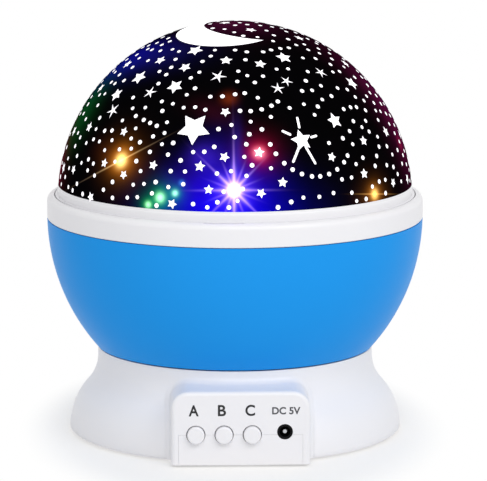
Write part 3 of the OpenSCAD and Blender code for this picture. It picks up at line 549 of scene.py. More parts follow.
def streak(light, colour, azimuth, elevation, length, width, tilt):
    """A thin painted ray through a place on the dome, straight when it is seen from the front."""
    outward = dome_frame(azimuth, elevation)[0]
    heart = DOME_MIDDLE + outward * DOME_R
    return patch(light, colour, FRONT_RIGHT, FRONT_UP, tilt, heart, outward, length, width)


def flare(light, colour, heart, azimuth, elevation, size):
    """A small lamp behind the print, painted on it as glow: wide halo, bright middle, white heart."""
    for tint, share in ((shade(colour, HALO), 2.4), (colour, 1.2), (heart, 0.6)):
        light = painted_glow(light, tint, azimuth, elevation, size * share)
    return light


# %% Painted glows: faint tinted ones towards the edges, the blue field low in front, and small ones
# the faint painted glow that the whole print shows
FAINT_PAINTED_GLOW = (0.0004, 0.0003, 0.0006)
BURST = (-2.1, 11.7)
# colour, azimuth, elevation, width, height, tilt
PAINTED_GLOWS = [
    ((0.003, 0.003, 0.22), -78, 54, 14, 8, 38),
    ((0.003, 0.003, 0.05), -52, 58, 14, 8, 30),
    ((0.001, 0.050, 0.008), -80, 31, 9, 12),
    ((0.085, 0.003, 0.034), 80, 30, 10, 24),
    ((0.050, 0.003, 0.022), 0, 86, 12),
    ((0.002, 0.0005, 1.0), -4, 3, 17, 10),
    ((0.012, 0.001, 0.60), -4, 12, 12, 8),
    ((0.010, 0.001, 0.14), -19, 13, 7, 6),
    ((0.030, 0.010, 0.35), -12.5, 22, 5, 4),
    ((0.006, 0.001, 0.13), -7, 22, 7, 8),
    ((0.020, 0.001, 0.004), -10, 37, 8, 4, -20),
    ((0.055, 0.008, 0.002), -44, 19.5, 9, 4, -12),
    ((0.05, 0.015, 0.002), 48.5, 6.5, 7, 3),
    ((0.03, 0.20, 0.55), -19, 13.6, 0.9),
    ((0.16, 0.020, 0.003), -4.3, 41.8, 2.4),
    ((0.16, 0.004, 0.02), 76, 20, 2.5),
]
light = FAINT_PAINTED_GLOW
for row in PAINTED_GLOWS:
    light = painted_glow(light, *row)

# %% Painted flares in red, orange and green, and the painted streaks of the two orange ones
RED_FLARE = ((0.72, 0.006, 0.06), (1.6, 0.6, 0.8), 6.3, 23.2, 2.7)
# colour, heart, azimuth, elevation, size
FLARES = [
    ((0.75, 0.22, 0.01), (2.6, 2.2, 0.7), -42.6, 18.9, 3.3),
    ((0.40, 0.12, 0.01), (2.0, 1.3, 0.35), 48.5, 7.2, 2.6),
    ((0.004, 0.46, 0.05), (0.9, 2.0, 1.1), -25.9, 8.7, 2.25),
    ((0.004, 0.36, 0.04), (0.7, 1.6, 0.8), -29.9, 6.2, 1.6),
    ((0.004, 0.36, 0.08), (0.7, 1.6, 1.0), -20.9, 10.3, 1.45),
]
# colour, azimuth, elevation, length, width, tilt
STREAKS = [
    ((0.30, 0.20, 0.12), -42.6, 18.9, 12, 0.16, 27),
    ((0.60, 0.36, 0.10), -42.6, 18.9, 6, 0.3, 27),
    ((0.60, 0.30, 0.08), 48.5, 7.2, 5, 0.2, 0),
]
for row in [RED_FLARE] + FLARES:
    light = flare(light, *row)
for row in STREAKS:
    light = streak(light, *row)
print("painted_glows:", len(PAINTED_GLOWS), "flares:", 1 + len(FLARES), "streaks:", len(STREAKS))

# %% The painted white burst and its rays
RAYS = [(90, 13), (0, 9), (45, 8.5), (-45, 10), (22, 5), (-22, 5), (68, 6), (-68, 6)]
RAY_SLIM, RAY_BROAD, BROAD_SHARE = 0.36, 0.75, 0.42
for tilt, length in RAYS:
    light = streak(light, (0.50, 0.26, 0.9), *BURST, length, RAY_SLIM, tilt)
    light = streak(light, (1.1, 0.75, 1.1), *BURST, length * BROAD_SHARE, RAY_BROAD, tilt)
light = painted_glow(light, (0.01, 0.01, 0.20), BURST[0] + 1, BURST[1] + 10, 1.8, 10)
light = painted_glow(light, (0.14, 0.05, 0.60), *BURST, 5)
light = painted_glow(light, (3.2, 3.0, 2.7), *BURST, 1.55)

# %% [markdown]
# The lamp shines on all sides, so the back of the dome has its own painted glows. They are drawn from a
# seeded random list, weaker than the ones in front.

# %% Painted glows round the back
back_random = random.Random(5)
BACK_TINTS = [(0.01, 0.01, 0.45), (0.35, 0.02, 0.06), (0.02, 0.25, 0.06), (0.35, 0.12, 0.02),
              (0.10, 0.01, 0.30)]
PALE = (0.9, 0.85, 0.8)
for number, azimuth in enumerate(range(105, 270, 27)):
    tint = BACK_TINTS[number % len(BACK_TINTS)]
    elevation = back_random.uniform(8, 45)
    for colour, width in ((shade(tint, 0.5), 11), (tint, 3), (PALE, 0.8)):
        light = painted_glow(light, colour, azimuth, elevation, width)

# %% The print itself, a little thicker and thinner from place to place, with the painted glow stronger where thinner
PAINTED_GLOW_SHARE, PAINTED_GLOW_DRIFT = 0.62, 0.55
RIPPLE_MM, RIPPLE_DEPTH_MM = 2.5, 0.002
clouds = dome_finish.noise(9, 4)
dome_finish.set(
    base_color=dome_finish.mix(clouds, (0.0006, 0.0006, 0.0006), (0.0016, 0.0013, 0.0016)),
    emission_color=dome_finish.mix(PAINTED_GLOW_SHARE + clouds * PAINTED_GLOW_DRIFT, (0, 0, 0), light),
    roughness=0.14 + clouds * 0.1,
)
dome_finish.bump(dome_finish.noise(RIPPLE_MM), RIPPLE_DEPTH_MM)
print("nodes in the dome's finish:", len(dome_finish.tree.nodes))

# %% The dome's shell
low_turn = math.degrees(math.asin((dome_low.z - DOME_MIDDLE.z) / DOME_R))
outer = arc((0, DOME_MIDDLE.z), DOME_R, low_turn, 90, 90)
inner = arc((0, DOME_MIDDLE.z), DOME_R - DOME_WALL, 90, low_turn, 60)
dome = turned("printed_dome_shell", outer + inner, "dome", dome_finish)
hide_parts("star_dome")

# %% [markdown]
# ## The clear motifs
#
# Where the print is left out, the clear plastic shows white on both sides of the wall, with the light of
# the lamp inside painted on it as a glow: dots, five-pointed stars, stars with thin arms, one crescent
# near the top, one big star and one star with rays. The large ones and some small stars are listed one
# by one, the rest come from a seeded draw that keeps its distance from what is there already. Python
# settles the places, and Geometry Nodes put a shape on each place, wrap it onto the dome and make it
# solid.

# %% Places of the motifs
DOT, STAR, THIN_STAR = 0, 1, 2
LOWEST_MOTIF = 5.8
DOT_R = 0.76
layout = random.Random(11)


def on_dome(azimuth, elevation):
    return dome_frame(azimuth, elevation)[0] * DOME_R


# large and middle-sized stars, listed one by one: azimuth, elevation, outer radius in mm, turn in
# degrees
STARS_BY_HAND = [
    (29, 58.5, 2.9, 12), (-29.6, 45.7, 3.0, -14), (-53.2, 47.7, 3.1, 10), (38, 32.2, 3.0, 24),
    (-30, 62.5, 2.9, 6), (-60, 40, 2.7, -20), (-7, 57.9, 2.2, 18), (-29.3, 53.9, 2.2, -8),
    (-49, 56, 2.1, 14), (62, 44, 2.8, -30), (12.5, 56, 2.1, 0), (6.3, 23.4, 1.9, 8),
    (-13.3, 18.9, 1.9, 12), (-5.3, 22.0, 1.8, -6), (-10.1, 11.8, 1.7, 16), (6.4, 10.7, 1.7, -12),
    (13.5, 13.8, 1.8, 10), (-29.5, 18.5, 1.7, 4), (-40.4, 14.6, 1.6, -10), (-50, 17.3, 1.6, 14),
    (-45, 28.1, 1.7, 8), (32.2, 20.6, 1.7, -4), (48.6, 24.3, 1.8, 6), (44.7, 14.1, 1.8, 12),
    (-5.5, 36.9, 1.8, -14),
]
THIN_STARS_BY_HAND = [
    (-10, 50.5, 3.0, 0), (-40.7, 42.6, 2.6, 16), (-56, 34.4, 3.0, -12), (17.5, 45.3, 2.5, 8),
    (23, 48, 2.3, -20), (45.6, 50.2, 2.5, 30),
]
BIG_STAR, BIG_STAR_R = (-16.8, 31.0), 5.8
RAYED_STAR, RAYED_STAR_R = (21.9, 26.7), 3.8
# what drawn motifs keep clear of: places and distances in mm. A listed star sits in the red flare
CRESCENT_GAP, HEART_GAP = 0.8, 1.6
HEARTS = [BURST] + [(azimuth, elevation) for _, _, azimuth, elevation, _ in FLARES]
TAKEN = [(on_dome(*BIG_STAR), BIG_STAR_R + 0.6), (on_dome(*RAYED_STAR), 2.5 * RAYED_STAR_R)]
TAKEN += [(on_dome(*heart), HEART_GAP) for heart in HEARTS]
motifs = []
for kind, rows in ((STAR, STARS_BY_HAND), (THIN_STAR, THIN_STARS_BY_HAND)):
    for azimuth, elevation, size, turn in rows:
        motifs.append((on_dome(azimuth, elevation), kind, size, turn))
print("stars placed by hand:", len(motifs))

# %% The crescent's two circles, seen from above
CRESCENT_OUTER = ((-3.1, -7.8), 17.2)
CRESCENT_INNER = ((6.2, -3.4), 16.9)


def inside_crescent(place, margin):
    """Whether a place lies on the crescent or closer to it than a margin in mm."""
    x, y = place.x / MM, place.y / MM
    outer_middle, outer_r = CRESCENT_OUTER
    inner_middle, inner_r = CRESCENT_INNER
    return (place.z > 0 and math.dist((x, y), outer_middle) < outer_r + margin
            and math.dist((x, y), inner_middle) > inner_r - margin)


def free(place, size, gap):
    """Whether a motif of that size keeps its gap from all the others, in mm."""
    if inside_crescent(place, size + CRESCENT_GAP):
        return False
    if any((place - taken).length / MM < distance + size for taken, distance in TAKEN):
        return False
    return all((place - other).length / MM > size + other_size + gap
               for other, _, other_size, _ in motifs)


# %% Draw the rest of the sky
def scatter(tries, kind, sizes, gap):
    """Draws places evenly over the dome and keeps those that are free."""
    made = 0
    lowest = math.sin(math.radians(LOWEST_MOTIF))
    for _ in range(tries):
        azimuth = layout.uniform(-180, 180)
        elevation = math.degrees(math.asin(layout.uniform(lowest, 0.999)))
        size = layout.uniform(*sizes)
        place = on_dome(azimuth, elevation)
        if free(place, size, gap):
            motifs.append((place, kind, size, layout.uniform(-36, 36)))
            made += 1
    return made


HIGHEST_BEAD = 80


def chain(count, azimuth, elevation, heading, bend, step=3.3):
    """A row of dots that wanders over the dome from a place, like beads on a thread."""
    for _ in range(count):
        heading += bend
        move = math.degrees(step * layout.uniform(0.85, 1.3) * MM / DOME_R)
        elevation += move * math.sin(math.radians(heading))
        azimuth += move * math.cos(math.radians(heading)) / math.cos(math.radians(elevation))
        place = on_dome(azimuth, elevation)
        if LOWEST_MOTIF < elevation < HIGHEST_BEAD and free(place, DOT_R, 0.7):
            motifs.append((place, DOT, DOT_R, 0))


# the row that curls under the star with rays, then sixteen more anywhere
chain(11, 9.5, 29, -88, 12)
for _ in range(16):
    chain(layout.randint(3, 5), layout.uniform(-180, 180), layout.uniform(12, 62),
          layout.uniform(0, 360), layout.uniform(-12, 12))
# tries, kind, range of sizes in mm, gap in mm
stars = scatter(900, STAR, (1.6, 2.1), 6.5)
thin_stars = scatter(120, THIN_STAR, (2.0, 2.6), 5.0)
dots = scatter(6000, DOT, (0.64, 0.80), 2.15)
print("motifs:", len(motifs), "of them drawn stars", stars, "thin stars", thin_stars, "dots", dots)

# %% Flat shapes made solid
PLATE_HEIGHT, WELD = 0.5, 0.01


def plate(graph, flat):
    """A flat face made solid: extruded up, with its own face turned over below."""
    top = graph.node("GeometryNodeExtrudeMesh", None, {"Mesh": flat, "Offset Scale": PLATE_HEIGHT})
    under = graph.node("GeometryNodeFlipFaces", None, {"Mesh": flat})
    both = graph.node("GeometryNodeJoinGeometry", None, {0: [top, under]})
    welded = graph.node("GeometryNodeMergeByDistance", None, {"Geometry": both, "Distance": WELD})
    position = graph.node("GeometryNodeInputPosition")
    height = graph.node("ShaderNodeSeparateXYZ", None, {0: position}, "Z")
    settings = {"data_type": "FLOAT", "domain": "POINT"}
    marks = {"Geometry": welded, "Name": "raised", "Value": height.above(PLATE_HEIGHT / 2)}
    return graph.node("GeometryNodeStoreNamedAttribute", settings, marks)


def star_face(graph, inner):
    """A flat star with five points and an outer radius of 1."""
    radii = {"Points": 5, "Inner Radius": inner, "Outer Radius": 1.0}
    outline = graph.node("GeometryNodeCurveStar", None, radii)
    return graph.node("GeometryNodeFillCurve", None, {0: outline})


# %% A node group that wraps the shapes onto the dome
def motif_tree():
    """Geometry Nodes: a shape on every point, upright on the dome, given its height and wrapped."""
    tree = bpy.data.node_groups.new("wrap_motifs", "GeometryNodeTree")
    kinds = {"Geometry": "Geometry", "Dome radius": "Float", "Proud": "Float", "Sink": "Float",
             "Dome middle": "Vector", "Material": "Material"}
    for name, kind in kinds.items():
        tree.interface.new_socket(name, in_out="INPUT", socket_type="NodeSocket" + kind)
    tree.interface.new_socket("Geometry", in_out="OUTPUT", socket_type="NodeSocketGeometry")
    graph = Graph(tree)
    add = graph.node
    inputs = tree.nodes.new("NodeGroupInput").outputs
    given = {name: Value(graph, inputs[name]) for name in kinds}

    def attribute(name, kind):
        return add("GeometryNodeInputNamedAttribute", {"data_type": kind}, {"Name": name})

    disc = add("GeometryNodeMeshCircle", {"fill_type": "NGON"}, {"Vertices": 12, "Radius": 1.0})
    flats = [star_face(graph, 0.24), star_face(graph, 0.5), disc]
    plates = [plate(graph, flat) for flat in flats]
    shapes = add("GeometryNodeGeometryToInstance", None, {0: plates})
    # a shape on every point, its Z outwards and its Y up, then turned about its own Z
    outward = graph.vector("SUBTRACT", add("GeometryNodeInputPosition"), given["Dome middle"])
    standing = add("FunctionNodeAlignRotationToVector", {"axis": "Z"}, {"Vector": outward})
    upright = add("FunctionNodeAlignRotationToVector", {"axis": "Y", "pivot_axis": "Z"},
                  {"Rotation": standing, "Vector": (0, 0, 1)})
    spin = add("FunctionNodeAxisAngleToRotation", None,
               {"Axis": (0, 0, 1), "Angle": attribute("turn", "FLOAT")})
    rotation = add("FunctionNodeRotateRotation", {"rotation_space": "LOCAL"},
                   {"Rotation": upright, "Rotate By": spin})
    placed = add("GeometryNodeInstanceOnPoints", None, {
        "Points": given["Geometry"], "Instance": shapes, "Pick Instance": True,
        "Instance Index": attribute("kind", "INT"), "Rotation": rotation,
        "Scale": attribute("size", "FLOAT")})
    solid = add("GeometryNodeRealizeInstances", None, {0: placed})
    # every corner moves along its ray: raised ones just over the dome, the others under its wall
    level = add("ShaderNodeMapRange", None, {
        "Value": attribute("raised", "FLOAT"), "To Min": given["Sink"], "To Max": given["Proud"]})
    ray = add("ShaderNodeVectorMath", {"operation": "SCALE"},
              {0: graph.vector("NORMALIZE", outward), "Scale": given["Dome radius"] + level})
    landed = graph.vector("ADD", ray, given["Dome middle"])
    wrapped = add("GeometryNodeSetPosition", None, {"Geometry": solid, "Position": landed})
    painted = add("GeometryNodeSetMaterial", None,
                  {"Geometry": wrapped, "Material": given["Material"]})
    graph.plug(tree.nodes.new("NodeGroupOutput").inputs[0], painted)
    return tree


# %% [markdown]
# A modifier does its work on a helper object, and the evaluated result becomes a plain mesh. The inputs
# of a node group are set by the identifier of their socket, before the object is first evaluated.

# %% One modifier worked into a mesh
def worked(data, name, kind=None, settings=None, inputs=None):
    """The plain mesh that a mesh or a text becomes, with at most one modifier on it."""
    source = in_scene(name + "_source", data)
    if kind:
        modifier = source.modifiers.new("work", kind)
        for key, value in settings.items():
            setattr(modifier, key, value)
        for key, value in (inputs or {}).items():
            modifier[key] = value
    graph = bpy.context.evaluated_depsgraph_get()
    mesh = bpy.data.meshes.new_from_object(source.evaluated_get(graph), depsgraph=graph)
    bpy.data.objects.remove(source)
    mesh.name = name
    return mesh


# %% The clear plastic, with the light of the lamp inside painted on it as a white glow
SINK = -DOME_WALL - PROUD
HAZE_MM = 18
glowing_window_finish = Finish("clear_window_painted_glow", ior=1.45, emission_strength=0.62)
haze = glowing_window_finish.noise(HAZE_MM)
glowing_window_finish.set(
    base_color=glowing_window_finish.mix(haze, (0.90, 0.88, 0.93), (0.94, 0.94, 0.95)),
    emission_color=glowing_window_finish.mix(haze, (0.98, 0.92, 1.0), (1.0, 1.0, 1.0)),
    roughness=0.22 + glowing_window_finish.noise(2) * 0.1,
)

# %% Print the small motifs
points = bpy.data.meshes.new("motif_places")
points.from_pydata([DOME_MIDDLE + place for place, *_ in motifs], [], [])
for name, kind, values in [
    ("kind", "INT", [kind for _, kind, _, _ in motifs]),
    ("size", "FLOAT", [size * MM for _, _, size, _ in motifs]),
    ("turn", "FLOAT", [math.radians(turn) for _, _, _, turn in motifs]),
]:
    points.attributes.new(name, kind, "POINT").data.foreach_set("value", values)
tree = motif_tree()
motif_values = {"Dome radius": DOME_R, "Proud": PROUD, "Sink": SINK, "Dome middle": DOME_MIDDLE,
                "Material": glowing_window_finish.data}
tree_inputs = {}
for item in tree.interface.items_tree:
    if item.in_out == "INPUT" and item.name in motif_values:
        tree_inputs[item.identifier] = motif_values[item.name]
print_mesh = worked(points, "printed_sky", "NODES", {"node_group": tree}, tree_inputs)
sky = in_scene("printed_sky", print_mesh)
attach(sky, "dome")
print("printed sky, faces:", len(print_mesh.polygons))

# %% [markdown]
# The crescent, the big star and the rayed star are too wide to be flat plates. Each is a grid of
# points in a plane that touches the dome, and every point is then moved onto the dome along its ray.

# %% Solid sheets on the dome
def sheet_on_dome(bm, grid, place, wrap=False):
    """Adds a closed thin solid over a grid of (x, y) points in mm, in a plane that touches the dome."""
    outward, sideways, upward = place
    rows, columns = len(grid), len(grid[0])

    def layer(radius):
        made = []
        for row in grid:
            made.append([])
            for x, y in row:
                across = (sideways * x + upward * y) * MM
                rise = math.sqrt(max(0.0, DOME_R ** 2 - across.length_squared))
                ray = (outward * rise + across).normalized()
                made[-1].append(bm.verts.new(DOME_MIDDLE + ray * radius))
        return made

    top, under = layer(DOME_R + PROUD), layer(DOME_R + SINK)
    last = columns if wrap else columns - 1
    for i in range(rows - 1):
        for j in range(last):
            k = (j + 1) % columns
            bm.faces.new((top[i][j], top[i + 1][j], top[i + 1][k], top[i][k]))
            bm.faces.new((under[i][j], under[i][k], under[i + 1][k], under[i + 1][j]))
    rims = [[(rows - 1, j) for j in range(columns)]]
    if wrap:
        rims[0].append(rims[0][0])
    else:
        rims.append([(0, j) for j in range(columns)])
        rims += [[(i, j) for i in range(rows)] for j in (0, columns - 1)]
    for rim in rims:
        for (a, b), (c, d) in zip(rim, rim[1:]):
            bm.faces.new((top[a][b], top[c][d], under[c][d], under[a][b]))


# %% Grids of points for stars, bars and the crescent
def line(start, end, steps):
    """Points from one place to another in equal steps."""
    (x0, y0), (x1, y1) = start, end
    return [(x0 + (x1 - x0) * i / steps, y0 + (y1 - y0) * i / steps) for i in range(steps + 1)]


def star_grid(points, outer, inner, turn=0, rings=5, per_side=3):
    """Grid over a star: its outline shrunk towards the middle ring by ring."""
    corners = []
    for i in range(2 * points):
        angle = math.radians(turn + 180 * i / points + 90)
        corners.append(polar((0, 0), outer if i % 2 == 0 else inner, angle))
    outline = []
    for start, end in zip(corners, corners[1:] + corners[:1]):
        outline += line(start, end, per_side)[:-1]
    return [[(x * ring / rings, y * ring / rings) for x, y in outline] for ring in range(rings + 1)]


def ribbon_grid(start, end, width, steps=12):
    """Grid over a bar with round ends."""
    length = math.dist(start, end)
    ux, uy = (end[0] - start[0]) / length, (end[1] - start[1]) / length
    grid = []
    for i in range(steps + 1):
        t = length * (1 - math.cos(math.pi * i / steps)) / 2
        to_end = min(t, length - t, width / 2)
        half = math.sqrt(max(0.0, (width / 2) ** 2 - (width / 2 - to_end) ** 2))
        x, y = start[0] + ux * t, start[1] + uy * t
        grid.append([(x - uy * half, y + ux * half), (x, y), (x + uy * half, y - ux * half)])
    return grid


def crescent_grid(steps=56, across=8):
    """Grid between the crescent's two circles, from one tip to the other."""
    outer_middle, outer_r = CRESCENT_OUTER
    inner_middle, inner_r = CRESCENT_INNER
    gap = math.dist(outer_middle, inner_middle)
    axis = math.atan2(inner_middle[1] - outer_middle[1], inner_middle[0] - outer_middle[0])
    tip = math.acos((outer_r ** 2 + gap ** 2 - inner_r ** 2) / (2 * outer_r * gap))
    tip_inner = math.pi - math.acos((inner_r ** 2 + gap ** 2 - outer_r ** 2) / (2 * inner_r * gap))
    grid = []
    for i in range(steps + 1):
        share = (1 - math.cos(math.pi * i / steps)) / 2
        a = axis + tip + share * 2 * (math.pi - tip)
        b = axis + tip_inner + share * 2 * (math.pi - tip_inner)
        grid.append(line(polar(outer_middle, outer_r, a), polar(inner_middle, inner_r, b), across))
    return grid


# %% The crescent
bm = bmesh.new()
sheet_on_dome(bm, crescent_grid(), (Vector((0, 0, 1)), Vector((1, 0, 0)), Vector((0, 1, 0))))
finish_mesh(bm, "printed_crescent", "dome", glowing_window_finish)

# %% The big star and the star with rays
bm = bmesh.new()
RAY_WIDTH = 0.8
rayed = dome_frame(*RAYED_STAR)
for place, outer, waist, turn in ((dome_frame(*BIG_STAR), BIG_STAR_R, 0.52, 182),
                                  (rayed, RAYED_STAR_R, 0.5, 8)):
    sheet_on_dome(bm, star_grid(5, outer, outer * waist, turn), place, wrap=True)
# angle of each ray in degrees, and its two ends from the star's middle in mm
STAR_RAYS = [(88, 4.2, 8.4), (148, 3.9, 7.4), (13, 3.5, 6.2), (239, 2.2, 8.6), (294, 2.2, 9.2)]
for angle, near, far in STAR_RAYS:
    start, end = (polar((0, 0), reach, math.radians(angle)) for reach in (near, far))
    sheet_on_dome(bm, ribbon_grid(start, end, RAY_WIDTH), rayed)
finish_mesh(bm, "printed_large_stars", "dome", glowing_window_finish)

# %% [markdown]
# ## The white ring
#
# The ring hugs the dome and lifts off with it. It stands on the rim band, which closes the bowl. Both
# are white and satin, and the ring's rounded upper edge catches a soft line of light.

# %% Ring round the dome
ring_low, ring_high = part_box("dome_ring")
band_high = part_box("rim_band")[1]
SKIRT_WALL = 0.8 * MM
BEAD_GAP, BEAD_LEVEL = 0.05 * MM, 1.2 * MM
TOP_ROUND, FOOT_ROUND = 1.4 * MM, 0.25 * MM
bead_r = radius_near("dome_ring", band_high.z + BEAD_LEVEL)
bead_low = band_high.z + BEAD_GAP
skirt_in = DOME_R + BEAD_GAP
skirt_out = skirt_in + SKIRT_WALL
lip_turn = math.degrees(math.asin((ring_high.z - DOME_MIDDLE.z) / skirt_in))
ring_outline = [(skirt_in, ring_low.z), (skirt_out, ring_low.z), (skirt_out, bead_low)]
ring_outline += arc((bead_r - FOOT_ROUND, bead_low + FOOT_ROUND), FOOT_ROUND, -90, 0, 4)
ring_outline += arc((bead_r - TOP_ROUND, ring_high.z - TOP_ROUND), TOP_ROUND, 0, 90, 12)
ring_outline += arc((0, DOME_MIDDLE.z), skirt_in, lip_turn, 0, 8)
ring = turned("dome_ring_turned", ring_outline, "dome", finishes["white_plastic"])

# %% [markdown]
# Three bayonet lugs under the ring hold it in the rim band's slots. Each is a short arc of a square
# section, so the sweep that made the ring makes them too, over ten degrees.

# %% Bayonet lugs
LUG_COUNT, LUG_START, LUG_SPAN, LUG_STEPS = 3, 20, 10, 8
LUG_DEPTH, LUG_HEIGHT, LUG_UP = 0.8 * MM, 1.6 * MM, 0.4 * MM
lug_in, lug_out = skirt_in + SKIRT_WALL * 0.7, skirt_out + LUG_DEPTH
lug_low = ring_low.z + LUG_UP
lug_high = lug_low + LUG_HEIGHT
section = [(lug_in, lug_low), (lug_out, lug_low), (lug_out, lug_high), (lug_in, lug_high)]
bm = bmesh.new()
for number in range(LUG_COUNT):
    start = LUG_START + 360 * number / LUG_COUNT
    turns = [math.radians(start + LUG_SPAN * i / LUG_STEPS) for i in range(LUG_STEPS + 1)]
    skin(bm, [around(bm, section, turn) for turn in turns])
lugs = finish_mesh(bm, "dome_ring_lugs", "dome", finishes["white_plastic"])
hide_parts("dome_ring")

# %% [markdown]
# ## The finish of every other piece
#
# The record names a finish for each piece, from the blue bowl to the smallest screw, so one loop hands
# them out.

# %% Hand out the finishes
finishes["printed_dome"] = dome_finish
for row in frame["record"]["subparts"]:
    paint(cad_mesh(row["node"]), finishes[row["material_slot"]])
print("finishes:", len(finishes), "on", len(frame["nodes"]), "pieces")

# %% [markdown]
# ## The edge of the console's face
#
# The face has a soft edge all the way, also round its two top corners, where the construction model has
# a sharp one. A solid in the shape of the waste that a rounding cutter takes away is swept along the
# console's outline, and a Boolean takes it off the joined copy of the base shell.

# %% The console's outline
CONSOLE_HALF, CONSOLE_TOP, CONSOLE_CORNER = 23.25 * MM, 25.7 * MM, 6 * MM
SIDE_POINTS, CORNER_POINTS, TOP_POINTS = 40, 22, 30
console_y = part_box("base_shell")[0].y


def console_outline(low):
    """Points (x, z) of the console's outline with their outward normals, from one foot to the other."""
    side_top = CONSOLE_TOP - CONSOLE_CORNER
    flat_half = CONSOLE_HALF - CONSOLE_CORNER
    points = [((-CONSOLE_HALF, z), (-1, 0)) for z in np.linspace(low, side_top, SIDE_POINTS)]
    for a in np.radians(np.linspace(180, 90, CORNER_POINTS)[1:]):
        n = (math.cos(a), math.sin(a))
        points.append(((-flat_half + CONSOLE_CORNER * n[0], side_top + CONSOLE_CORNER * n[1]), n))
    points += [((x, CONSOLE_TOP), (0, 1)) for x in np.linspace(-flat_half, 0, TOP_POINTS)[1:]]
    return points + [((-x, z), (-nx, nz)) for (x, z), (nx, nz) in points[-2::-1]]


# %% The waste of the rounding cutter
EDGE = 1.6 * MM
EDGE_STEPS = 8
SPARE = 0.02 * MM
OUTSIDE = 1.0 * MM


def rounding_waste():
    """A closed solid along the console's outline. Its inner side is the round that stays."""
    section = []
    for a in np.radians(np.linspace(0, 90, EDGE_STEPS + 1)):
        section.append((EDGE * (1 - math.sin(a)) - SPARE, EDGE * (1 - math.cos(a)) - SPARE))
    section += [(-OUTSIDE, EDGE - SPARE), (-OUTSIDE, -OUTSIDE), (EDGE - SPARE, -OUTSIDE)]
    bm = bmesh.new()
    rows = []
    for (x, z), (nx, nz) in console_outline(-OUTSIDE):
        rows.append([bm.verts.new((x - inset * nx, console_y + depth, z - inset * nz))
                     for inset, depth in section])
    skin(bm, rows)
    bmesh.ops.recalc_face_normals(bm, faces=bm.faces)
    return to_mesh(bm, "rounding_waste")


# %% Round the edge
def joined(mesh):
    """A bmesh of a node's mesh with its loose triangles joined at their corners."""
    bm = bmesh.new()
    bm.from_mesh(mesh)
    bmesh.ops.remove_doubles(bm, verts=bm.verts, dist=JOIN)
    return bm


def without(node, waste_mesh):
    """The joined mesh of a node with a solid taken off it."""
    waste = in_scene("waste", waste_mesh)
    cut = {"operation": "DIFFERENCE", "solver": "EXACT", "object": waste}
    whole = to_mesh(joined(cad_mesh(node)), node + "_whole")
    result = worked(whole, node + "_cut", "BOOLEAN", cut)
    bpy.data.objects.remove(waste)
    return result


recut = {"base_shell": without("base_shell", rounding_waste())}
print("base shell, faces before and after:", len(cad_mesh("base_shell").polygons),
      len(recut["base_shell"].polygons))

# %% [markdown]
# ## Round pieces in smooth shading
#
# The construction model is made of loose flat triangles. A piece with round surfaces is copied, its
# corners are joined, and it is shaded smooth between its true edges. It takes the place of its node.

# %% Smooth copies
TURNED = {"star_dome", "dome_ring"}
FLAT = {"control_board", "contact_springs", "lamp_cable", "battery_wires", "motor_wires"}
COPY_SHARP_EDGE = math.radians(32)
FLAT_TURN = math.radians(0.2)
LEAN = {"mode": "FACE_AREA", "weight": 75, "keep_sharp": True}
bodies = frame["record"]["behaviour"]["bodies"]
owners = {node: body for body, nodes in bodies.items() for node in nodes}


def smooth_copy(node, material):
    """A joined copy of a node's mesh. Its normals lean towards its large faces, so flats stay flat."""
    bm = joined(recut.get(node, cad_mesh(node)))
    bmesh.ops.dissolve_limit(bm, verts=bm.verts, edges=bm.edges, angle_limit=FLAT_TURN)
    rough = to_mesh(bm, node + "_rough")
    shade_smooth(rough, COPY_SHARP_EDGE)
    smooth = worked(rough, node + "_smooth", "WEIGHTED_NORMAL", LEAN)
    paint(smooth, material)
    piece = in_scene(node + "_smooth", smooth)
    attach(piece, owners[node])
    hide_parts(node)
    return piece


for row in frame["record"]["subparts"]:
    if row["node"] not in TURNED | FLAT:
        smooth_copy(row["node"], finishes[row["material_slot"]])
print("smooth copies made of", len(owners) - len(TURNED | FLAT), "pieces")

# %% [markdown]
# ## Where the console grows out of the flare
#
# On the moulded base the console doesn't meet the flare in a sharp corner: the mould has a round there.
# A ball that rolls along the corner and touches both faces sweeps just that round. Its middle keeps the
# ball's radius from both faces, so it runs on the two offset faces, and the fillet is the part of the
# ball between its two touching points.

# %% Outline of the flare
HOLLOW_R = 15.9 * MM
HOLLOW_Z = 26.8 * MM
TOE_Z = 1.4 * MM
FLARE_SPAN = 0.4 * MM
neck_r = radius_near("base_shell", HOLLOW_Z, FLARE_SPAN, behind=0)
toe_reach = radius_near("base_shell", TOE_Z, FLARE_SPAN, behind=0)
hollow_x = neck_r + HOLLOW_R
toe_depth, toe_height = hollow_x - toe_reach, HOLLOW_Z - TOE_Z
toe_arc_r = (toe_depth ** 2 + toe_height ** 2 - HOLLOW_R ** 2) / (2 * (HOLLOW_R - toe_depth))
toe_x = toe_reach - toe_arc_r
turn_z = TOE_Z + toe_height * toe_arc_r / (toe_arc_r + HOLLOW_R)
print("neck, toe and the toe's arc in mm:", [round(r / MM, 2) for r in (neck_r, toe_reach, toe_arc_r)])


def offset_flare(height, ball):
    """Radius of the flare's face moved outwards by the ball's radius, and its normal (outward, up)."""
    if height >= HOLLOW_Z:
        return neck_r + ball, (1, 0)
    inner, drop = HOLLOW_R - ball, height - HOLLOW_Z
    if abs(drop) < inner:
        radius = hollow_x - math.sqrt(inner ** 2 - drop ** 2)
        normal = ((hollow_x - radius) / inner, -drop / inner)
        if height - ball * normal[1] >= turn_z:
            return radius, normal
    outer, rise = toe_arc_r + ball, max(0.0, height - TOE_Z)
    radius = toe_x + math.sqrt(outer ** 2 - rise ** 2)
    return radius, ((radius - toe_x) / outer, rise / outer)


# %% Roll the ball
BALL = 2.4 * MM
FILLET_STEPS = 9
FILLET_LOW = 1.0 * MM
